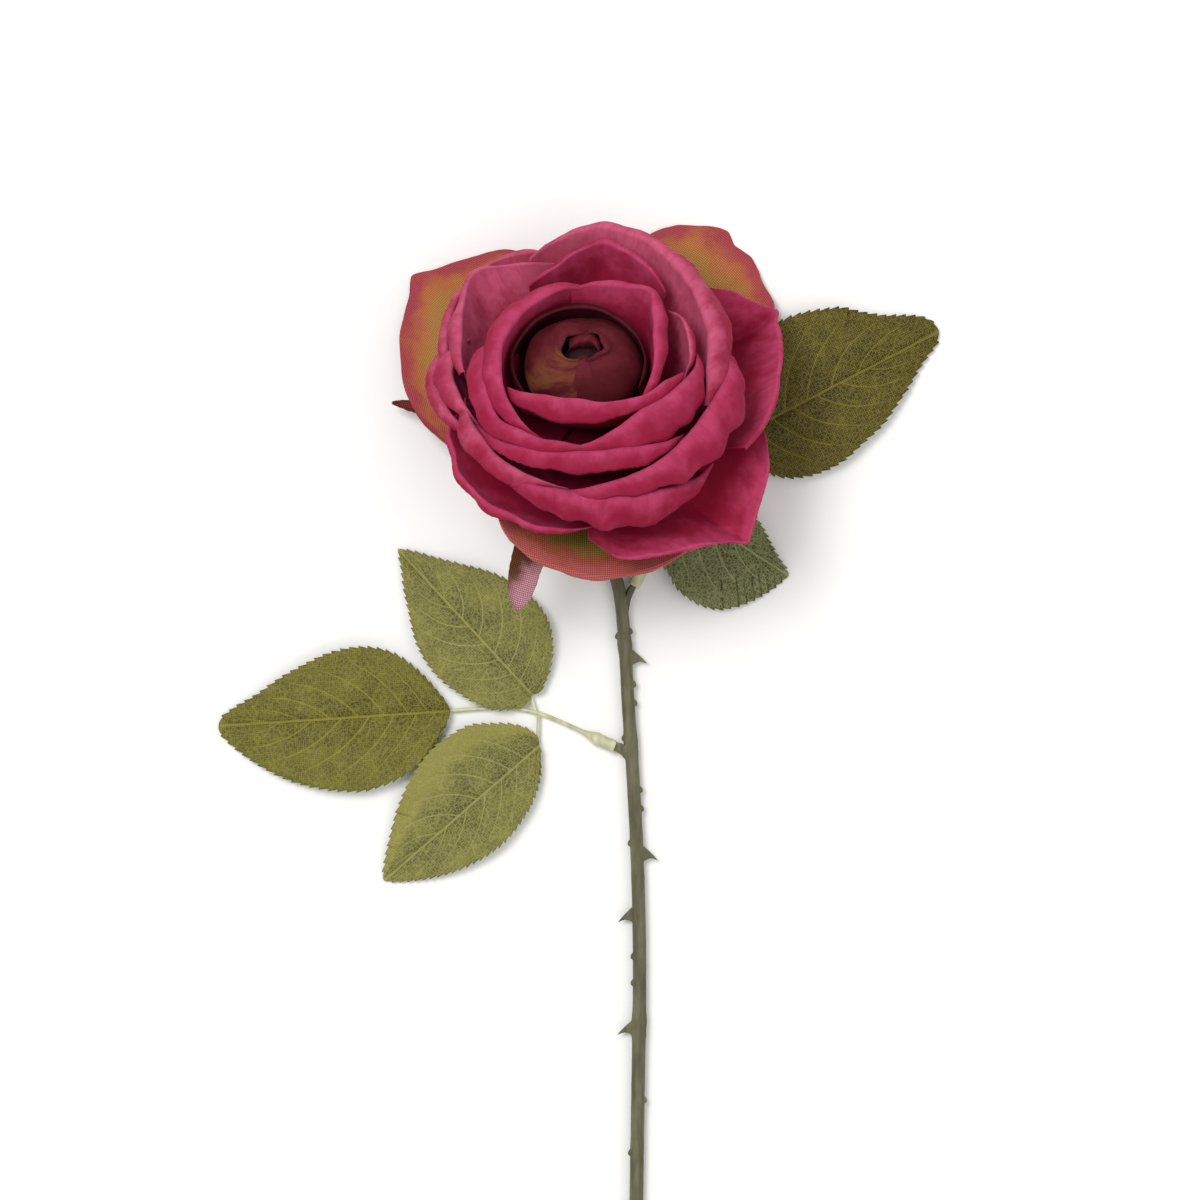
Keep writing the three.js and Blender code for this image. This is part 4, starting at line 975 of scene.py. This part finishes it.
# ---- Operators ----
class ROSE_OT_stage(bpy.types.Operator):
    """Lay the floor, hang the lights and set the camera over the rose"""
    bl_idname = "rose.stage"
    bl_label = "Stage"

    def execute(self, context):
        stage, scene = context.scene.rose_stage, context.scene
        bm = bmesh.new()
        bmesh.ops.create_grid(bm, x_segments=8, y_segments=8, size=FLOOR_HALF)
        mesh = bpy.data.meshes.new("floor")
        bm.to_mesh(mesh)
        bm.free()
        floor = bpy.data.objects.new("floor", mesh)
        floor.location.z = cad_box[0][2] - 0.0005
        mesh.materials.append(painted_board("painted_board", stage.floor))
        scene.collection.objects.link(floor)

        world = bpy.data.worlds.new("studio")
        world.use_nodes = True
        world.node_tree.nodes["Background"].inputs["Strength"].default_value = stage.sky
        world.node_tree.nodes["Background"].inputs["Color"].default_value = (1, 1, 1, 1)
        scene.world = world
        for name, place, size, share in LIGHTS:
            lamp = bpy.data.lights.new(name, "AREA")
            lamp.size = size
            lamp.energy = stage.key * share
            light = bpy.data.objects.new(name, lamp)
            light.location = place
            light.rotation_euler = (Vector(LIT_POINT) - Vector(place)).to_track_quat("-Z", "Y").to_euler()
            scene.collection.objects.link(light)

        eye = bpy.data.cameras.new("camera")
        eye.sensor_width = 36
        eye.lens = LENS
        camera = bpy.data.objects.new("camera", eye)
        camera.location = (SHIFT.x * MM, SHIFT.y * MM, stage.camera_height)
        scene.collection.objects.link(camera)
        scene.camera = camera
        scene.view_settings.view_transform = "Standard"
        return {"FINISHED"}


FLOOR_HALF = 4
LENS = 138
LIT_POINT = (0, 0.1, 0.03)
# Soft lights: name, place in metres, size, power against the key light.
LIGHTS = [("key_light", (-0.5, 0.5, 1.4), 0.6, 1), ("fill_light", (0.8, -0.2, 1.4), 1.2, 0.4)]


class ROSE_OT_cores(bpy.types.Operator):
    """Turn the receptacle, the bud's foam core and the calyx cup"""
    bl_idname = "rose.cores"
    bl_label = "Cores and calyx cup"

    def execute(self, context):
        stem = context.scene.rose_stem
        pale = moulded_plastic("moulded_stalk_plastic_core", stem.stalk, linear("#B9BC86"), 3 * MM,
                               glow=0.15)
        green = moulded_plastic("moulded_stem_plastic_cup", stem.stem, linear("#6E6C52"), 2.5 * MM)
        foam = sprayed_foam("sprayed_foam", linear("#3A0A12"), linear("#20060A"))
        bm = turned(RECEPTACLE)
        soften(bm, 0.25)
        add_piece(bm, "receptacle_body", pale, ["receptacle"], "core_plastic", HEAD)
        bm = turned(BUD_CORE, 40)
        subdivide(add_piece(bm, "bud_core_body", foam, ["bud_core"], "core_foam", HEAD))
        bm = turned(CALYX_CUP + CALYX_CUP[:1])
        soften(bm, 0.3)
        add_piece(bm, "calyx_cup_body", green, ["calyx_cup"], "stem_plastic", HEAD)
        return {"FINISHED"}


BUD_CORE = [(0, 17.6), (2.4, 18.4), (6.2, 23), (8.6, 28), (8.8, 33), (6, 37.6), (0, 39)]
CALYX_CUP = [(1.9, -13.42), (3, -13.42), (4.4, -11.02), (7.6, -8.42), (9.4, -6.92), (8.8, -6.12),
             (1.9, -6.12)]


def soften(bm, width):
    """Rounds the hard edges of a turned piece."""
    hard = [edge for edge in bm.edges if edge.is_manifold and edge.calc_face_angle(0) > math.radians(25)]
    bmesh.ops.bevel(bm, geom=hard, offset=width, offset_type="OFFSET", affect="EDGES", segments=3,
                    profile=0.5,
                    material=-1, clamp_overlap=True)


def lobe_mesh(azimuth, reach, tip, bow, blunt):
    """Mesh of a calyx lobe in the flower's frame, with its flat width, length and area in metres."""
    bm, table = cloth_grid(SEPAL_ROWS, 13)
    cloth, place = [], []
    turn = Matrix.Rotation(math.radians(azimuth), 3, "Z")
    for i, row in enumerate(table):
        t = i / (SEPAL_ROWS - 1)
        half = SEPAL_WIDTH / 2 * min(0.7 + t, 1) * max(1 - t ** blunt, 0) ** 0.6
        cloth.append([])
        place.append([])
        for j, vert in enumerate(row):
            s = j / 6 - 1
            radius = SEPAL_START + (reach - SEPAL_START) * t
            nick = 0.3 * ripple(i * 0.9, j * 0.1, azimuth) * abs(s)
            height = SEPAL_HEIGHT + 0.1 + (tip - SEPAL_HEIGHT) * t ** 1.3
            height += t * (0.9 * s * s + 0.6 * ripple(t * 4, s, azimuth))
            side = s * max(half, 0.12) + nick + bow * math.sin(math.pi * t)
            cloth[-1].append((radius * MM, s * half * MM))
            place[-1].append((0.5 + 0.5 * s, t))
            vert.co = turn @ Vector((radius, side, height))
    map_grid(bm, table, cloth, place)
    area = sum(face.calc_area() for face in bm.faces) * MM * MM
    return bm, SEPAL_WIDTH * MM, (reach - SEPAL_START) * MM, area


class ROSE_OT_sepals(bpy.types.Operator):
    """Cut the cloth calyx with its five lobes"""
    bl_idname = "rose.sepals"
    bl_label = "Calyx lobes"

    def execute(self, context):
        petals = context.scene.rose_petals
        brown = dyed_lobe_cloth("brown_lobe_cloth", linear("#5E4A24"), linear("#8A3A34"), petals.thread)
        # Lobe 2 runs from brown at the stem to pale pink at its tip.
        pale_tipped = dyed_lobe_cloth("pale_tipped_lobe_cloth", linear("#6E4426"), linear("#D9A0AC"), petals.thread)
        for number, lobe in enumerate(SEPALS, 1):
            bm, width, height, area = lobe_mesh(*lobe)
            piece = add_piece(bm, f"calyx_lobe_{number}", pale_tipped if number == 2 else brown, ["calyx_sepals"],
                              "sepal_cloth", HEAD, petals.cloth)
        bm = turned([(SEPAL_BORE, SEPAL_HEIGHT - 0.15), (SEPAL_RING, SEPAL_HEIGHT - 0.15),
                     (SEPAL_RING, SEPAL_HEIGHT), (SEPAL_BORE, SEPAL_HEIGHT),
                     (SEPAL_BORE, SEPAL_HEIGHT - 0.15)])
        add_piece(bm, "calyx_ring", brown, ["calyx_sepals"], "sepal_cloth", HEAD)
        return {"FINISHED"}


SEPAL_ROWS = 60
SEPAL_WIDTH = 10.2
SEPAL_START = 3.9  # radius at which a lobe leaves the ring
SEPAL_RING = 6.5
SEPAL_BORE = 1.9
SEPAL_HEIGHT = -4.92


# Petals towards the light get a copy of the cloth with painted light (a paler lip, with the pink reaching further
# down), and petals away from it get a copy with painted shade (darker sides and ends). spread and ends set how far.
PAINTED_LIGHT_PETALS = ("middle_petal_1", "outer_petal_1", "outer_petal_2", "outer_petal_4", "outer_petal_5",
               "outer_petal_7", "outer_petal_8", "outer_petal_9")
PAINTED_SHADE_PETALS = ("middle_petal_4", "outer_petal_6", "outer_petal_11", "outer_petal_12")


class PetalOperator:
    """Shared running of the petal operators: for each group an even cloth and its copies with painted light and
    painted shade.
    """
    kind, slot = "", "petal_cloth"

    def execute(self, context):
        petals = context.scene.rose_petals
        dyes = (petals.deep, petals.middle, petals.lip, petals.thread)
        evenly = dyed_petal_cloth(f"even_{self.kind}_cloth", *dyes)
        # Copies of the even cloth with painted light and with painted shade.
        painted_light_cloth = dyed_petal_cloth(f"painted_light_{self.kind}_cloth", petals.deep, petals.middle, petals.painted_light_lip,
                                  petals.thread, spread=0.12, ends=0.3)
        painted_shade_cloth = dyed_petal_cloth(f"dark_{self.kind}_cloth", petals.deep, petals.painted_shade_middle, petals.lip,
                                  petals.thread, spread=-0.02, ends=0.7)
        for name in petals_of(self.kind):
            material = painted_light_cloth if name in PAINTED_LIGHT_PETALS else painted_shade_cloth if name in PAINTED_SHADE_PETALS else evenly
            add_petal(name, material, self.slot)
        return {"FINISHED"}


class ROSE_OT_bud(PetalOperator, bpy.types.Operator):
    """Wrap the bud in its five dark petals"""
    bl_idname = "rose.bud_petals"
    bl_label = "Bud petals"
    kind, slot = "bud", "bud_cloth"

    def execute(self, context):
        petals = context.scene.rose_petals
        dyes = (linear("#3C0810"), petals.bud, linear("#6E2430"), petals.thread)
        plain = dyed_petal_cloth("dyed_bud_cloth", *dyes)
        flushed = dyed_petal_cloth("flushed_bud_cloth", *dyes, flush=petals.bud_flush)
        shaded = dyed_petal_cloth("shaded_bud_cloth", linear("#240408"), linear("#3A080E"),
                                  linear("#521420"),
                                  petals.thread)
        kinds = {"bud_petal_2": flushed, "bud_petal_5": shaded}
        for name in petals_of("bud"):
            add_petal(name, kinds.get(name, plain), self.slot)
        return {"FINISHED"}


class ROSE_OT_inner(PetalOperator, bpy.types.Operator):
    """Set the three petals round the bud"""
    bl_idname = "rose.inner_petals"
    bl_label = "Inner petals"
    kind = "inner"


class ROSE_OT_middle(PetalOperator, bpy.types.Operator):
    """Set the five petals of the middle turn"""
    bl_idname = "rose.middle_petals"
    bl_label = "Middle petals"
    kind = "middle"


class ROSE_OT_outer(PetalOperator, bpy.types.Operator):
    """Set the twelve petals of the outer turns"""
    bl_idname = "rose.outer_petals"
    bl_label = "Outer petals"
    kind = "outer"


class ROSE_OT_guard(PetalOperator, bpy.types.Operator):
    """Set the three gold-brown petals under the flower"""
    bl_idname = "rose.guard_petals"
    bl_label = "Guard petals"
    kind, slot = "guard", "guard_cloth"

    def execute(self, context):
        petals = context.scene.rose_petals
        gold = dyed_guard_cloth("gold_guard_cloth", linear("#C99A50"), petals.guard, petals.guard_margin,
                                petals.thread)
        salmon = dyed_guard_cloth("salmon_guard_cloth", linear("#8A8428"), linear("#B05C40"),
                                  linear("#CC6C64"),
                                  petals.thread)
        for name in petals_of("guard"):
            add_petal(name, salmon if name == "guard_petal_1" else gold, self.slot)
        return {"FINISHED"}


class ROSE_OT_leaves(bpy.types.Operator):
    """Cut and press the six leaflets"""
    bl_idname = "rose.leaves"
    bl_label = "Leaves"

    def execute(self, context):
        leaves, thread = context.scene.rose_leaves, context.scene.rose_petals.thread
        # The pale and the dark cloth differ partly in print and partly in painted light and shade: the pale one is
        # lighter for the leaf lying towards the light, and the dark one is darker for the end leaf.
        pale = printed_leaf_cloth("printed_leaf_cloth_pale_painted_light", linear("#86823F"), linear("#5E5C30"),
                                  linear("#A8A460"), thread)
        end = printed_leaf_cloth("printed_leaf_cloth_dark_painted_shade", linear("#757032"), linear("#524C1C"),
                                 linear("#97923C"), thread)
        gold = printed_leaf_cloth("printed_leaf_cloth_gold", linear("#685A1C"), linear("#443C12"),
                                  linear("#968A38"),
                                  thread, weave_shade=0.2)
        grey = printed_leaf_cloth("printed_leaf_cloth_grey", linear("#6E7048"), linear("#484C26"),
                                  linear("#A6A874"),
                                  thread)
        banded = printed_leaf_cloth("printed_leaf_cloth_banded", linear("#86823F"), linear("#5E5C30"),
                                    linear("#A8A460"), thread, band=linear("#938E44"))
        cloths = {"left_leaf_end": end, "left_leaf_upper": pale, "left_leaf_lower": banded,
                  "right_leaf_end": gold,
                  "right_leaf_lower": grey, "right_leaf_hidden": gold}
        for name, leaf in LEAVES.items():
            bm, width, run, area = leaf_mesh(leaf, leaves.tooth / MM)
            piece = add_piece(bm, name + "_cloth", cloths[name], [name], "leaf_cloth", LAYOUT, leaves.cloth)
        return {"FINISHED"}


class ROSE_OT_stem(bpy.types.Operator):
    """Mould the stem with its pegs, thorns and buds, and draw the wire inside it"""
    bl_idname = "rose.stem"
    bl_label = "Stem and wire"

    def execute(self, context):
        stem = context.scene.rose_stem
        top, end = stem.top_radius / MM, stem.end_radius / MM
        green = moulded_plastic("moulded_stem_plastic", stem.stem, linear("#6E6C52"), 2.2 * MM)
        bm = bmesh.new()

        def radius_at(t):
            swell = sum(size * math.exp(-((t * STEM_RUN - NECK_RUN - at) / wide) ** 2) for at, size,
                        wide in NODES)
            return top + (end - top) * t + swell + 0.07 * ripple(t * 90)

        frames, ends = tube(bm, STEM_ROUTE, radius_at, STEM_SIDES, STEM_STEP)
        sharpen(bm, ends[:1], 0.4)
        bmesh.ops.inset_region(bm, faces=ends[1:], thickness=end - WIRE_HOLE)
        grow(bm, ends[1:], [(frames[-1].translation - frames[-1].col[2].to_3d() * 3, 1)])
        grow_on_stem(bm, frames)
        piece = add_piece(bm, "moulded_stem", green, ["stem"], "stem_plastic")
        subdivide(piece)

        steel = drawn_wire("drawn_steel_wire", linear("#A9ABAE"), linear("#6D7073"))
        bm = bmesh.new()
        first = round(WIRE_START / STEM_STEP)
        route = [frame.translation for frame in frames[first::12]] + [frames[-1].translation]
        frames, ends = tube(bm, route, lambda t: WIRE_RADIUS, 12, 3)
        sharpen(bm, ends, 0.15)
        add_piece(bm, "steel_wire", steel, ["stem_wire"], "wire_steel")
        return {"FINISHED"}


STEM_SIDES = 18
STEM_STEP = 1.15
STEM_RUN = 356.5
NECK_RUN = 4  # length of the stem above the place that distances along it are measured from
WIRE_START = 18
WIRE_RADIUS = 0.6
WIRE_HOLE = 0.9
# Swellings on the stem: (distance below its top, height, half length).
NODES = [(14.5, 0.75, 1.6), (60.5, 0.35, 2.4), (90, 0.3, 2), (94, 0.2, 0.9), (177, 0.35, 2.6),
         (181, 0.25, 1),
         (262, 0.3, 2.2)]
PEG_RADIUS = 1.0
THORN_HOOK = 0.45


def skin_place(frames, distance, way):
    """Point on the stem's axis at a distance below the top, the way down and the way out sideways."""
    frame = frames[min(round((distance + NECK_RUN) / STEM_STEP), len(frames) - 1)]
    along = frame.col[2].to_3d()
    out = Vector((0, 0, 1)).cross(along).normalized()
    out = out if out.x * way > 0 else -out
    return frame.translation.copy(), along, out


def grow_on_stem(bm, frames):
    """Draws the thorns, the buds and the leaf pegs out of the stem's skin."""
    for distance, way, run, foot in THORNS:
        centre, along, out = skin_place(frames, distance, way)
        bm.normal_update()
        patch = patch_at(bm, centre + out * 2, along, out, foot / 2, 1.0)
        steps = [(0.12, 0.86), (0.3, 0.62), (0.52, 0.4), (0.74, 0.22), (0.92, 0.1), (1, 0.03)]
        grow(bm, patch, [(centre + out * (1.9 + run * t) + along * foot * THORN_HOOK * t * t, share)
                         for t, share in steps])
    for distance, way in NUBS:
        centre, along, out = skin_place(frames, distance, way)
        bm.normal_update()
        patch = patch_at(bm, centre + out * 2, along, out, 1.2, 0.8)
        grow(bm, patch, [(centre + out * 2.35 + along * 0.1, 0.75),
                         (centre + out * 2.75 + along * 0.25, 0.35)])
    for spray in SPRAYS.values():
        root, tip = (Vector(p) for p in spray["peg"])
        nearest = min(frames, key=lambda f: (f.translation - root).length)
        out = (tip - root).normalized()
        along = nearest.col[2].to_3d()
        bm.normal_update()
        side = (out - along * out.dot(along)).normalized()
        patch = patch_at(bm, nearest.translation + side * 2, along, side, 2.2, 1.5)
        stations = [(root.lerp(tip, t), share) for t, share in PEG_SHAPE]
        grow(bm, patch, stations)


# A peg's stations: share of the way from its root to its tip, and its size against its foot on the stem.
PEG_SHAPE = [(0.35, 0.8), (0.55, 0.62), (0.75, 0.56), (0.95, 0.54), (1, 0.4)]


class ROSE_OT_stalks(bpy.types.Operator):
    """Mould the two pale leaf stalks with their sleeves"""
    bl_idname = "rose.stalks"
    bl_label = "Leaf stalks"

    def execute(self, context):
        stem = context.scene.rose_stem
        pale = moulded_plastic("moulded_stalk_plastic", stem.stalk, linear("#C4C69A"), 1.8 * MM, 0.42, 0.2)
        thin = stem.stalk_radius / MM
        for name, spray in SPRAYS.items():
            bm = bmesh.new()
            sleeve = running([Vector(p) for p in spray["sleeve"]])[-1]
            main = spray["sleeve"] + spray["stalk"]
            share = sleeve / running([Vector(p) for p in main])[-1]

            def radius_at(t, share=share):
                fall = min(max((t - share * 0.6) / (share * 0.5), 0), 1)
                lip = 0.18 * math.exp(-((t - share * 0.62) / (share * 0.08)) ** 2)
                body = SOCKET_RADIUS + (thin * (1 - 0.25 * t) - SOCKET_RADIUS) * fall * fall * (3 - 2 * fall)
                return body + lip + 0.04 * ripple(t * 30)

            frames, ends = tube(bm, main, radius_at, 16, 0.8)
            sharpen(bm, ends[1:], 0.15)
            bmesh.ops.inset_region(bm, faces=ends[:1], thickness=SOCKET_RADIUS - PEG_RADIUS - 0.3)
            grow(bm, ends[:1], [(frames[round(k * sleeve / 3)].translation, 1) for k in (1, 2, 3)])
            for side in spray["sides"]:
                tube(bm, side, lambda t: thin * (0.8 - 0.2 * t), 12, 0.8)
            node_name = name + "_leaf_stalk"
            subdivide(add_piece(bm, node_name + "_body", pale, [node_name], "stalk_plastic"))
        return {"FINISHED"}


SOCKET_RADIUS = 1.9


OPERATORS = [ROSE_OT_stage, ROSE_OT_cores, ROSE_OT_sepals, ROSE_OT_bud, ROSE_OT_inner, ROSE_OT_middle,
             ROSE_OT_outer, ROSE_OT_guard, ROSE_OT_leaves, ROSE_OT_stalks, ROSE_OT_stem]
SETTINGS = {"rose_petals": RosePetalSettings, "rose_leaves": RoseLeafSettings,
            "rose_stem": RoseStemSettings,
            "rose_stage": RoseStageSettings}


class ROSE_PT_panel(bpy.types.Panel):
    """Steps of the cloth rose"""
    bl_idname = "ROSE_PT_panel"
    bl_label = "Cloth rose"
    bl_space_type = "VIEW_3D"
    bl_region_type = "UI"
    bl_category = "Rose"

    def draw(self, context):
        for operator in OPERATORS:
            self.layout.operator(operator.bl_idname)


def register():
    for group in SETTINGS.values():
        bpy.utils.register_class(group)
    for name, group in SETTINGS.items():
        setattr(bpy.types.Scene, name, bpy.props.PointerProperty(type=group))
    for operator in OPERATORS + [ROSE_PT_panel]:
        bpy.utils.register_class(operator)


def unregister():
    for operator in [ROSE_PT_panel] + OPERATORS[::-1]:
        bpy.utils.unregister_class(operator)
    for name, group in SETTINGS.items():
        delattr(bpy.types.Scene, name)
        bpy.utils.unregister_class(group)


def main():
    register()
    for operator in OPERATORS:
        group, name = operator.bl_idname.split(".")
        getattr(getattr(bpy.ops, group), name)()
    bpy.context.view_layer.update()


if __name__ == "__main__":
    main()
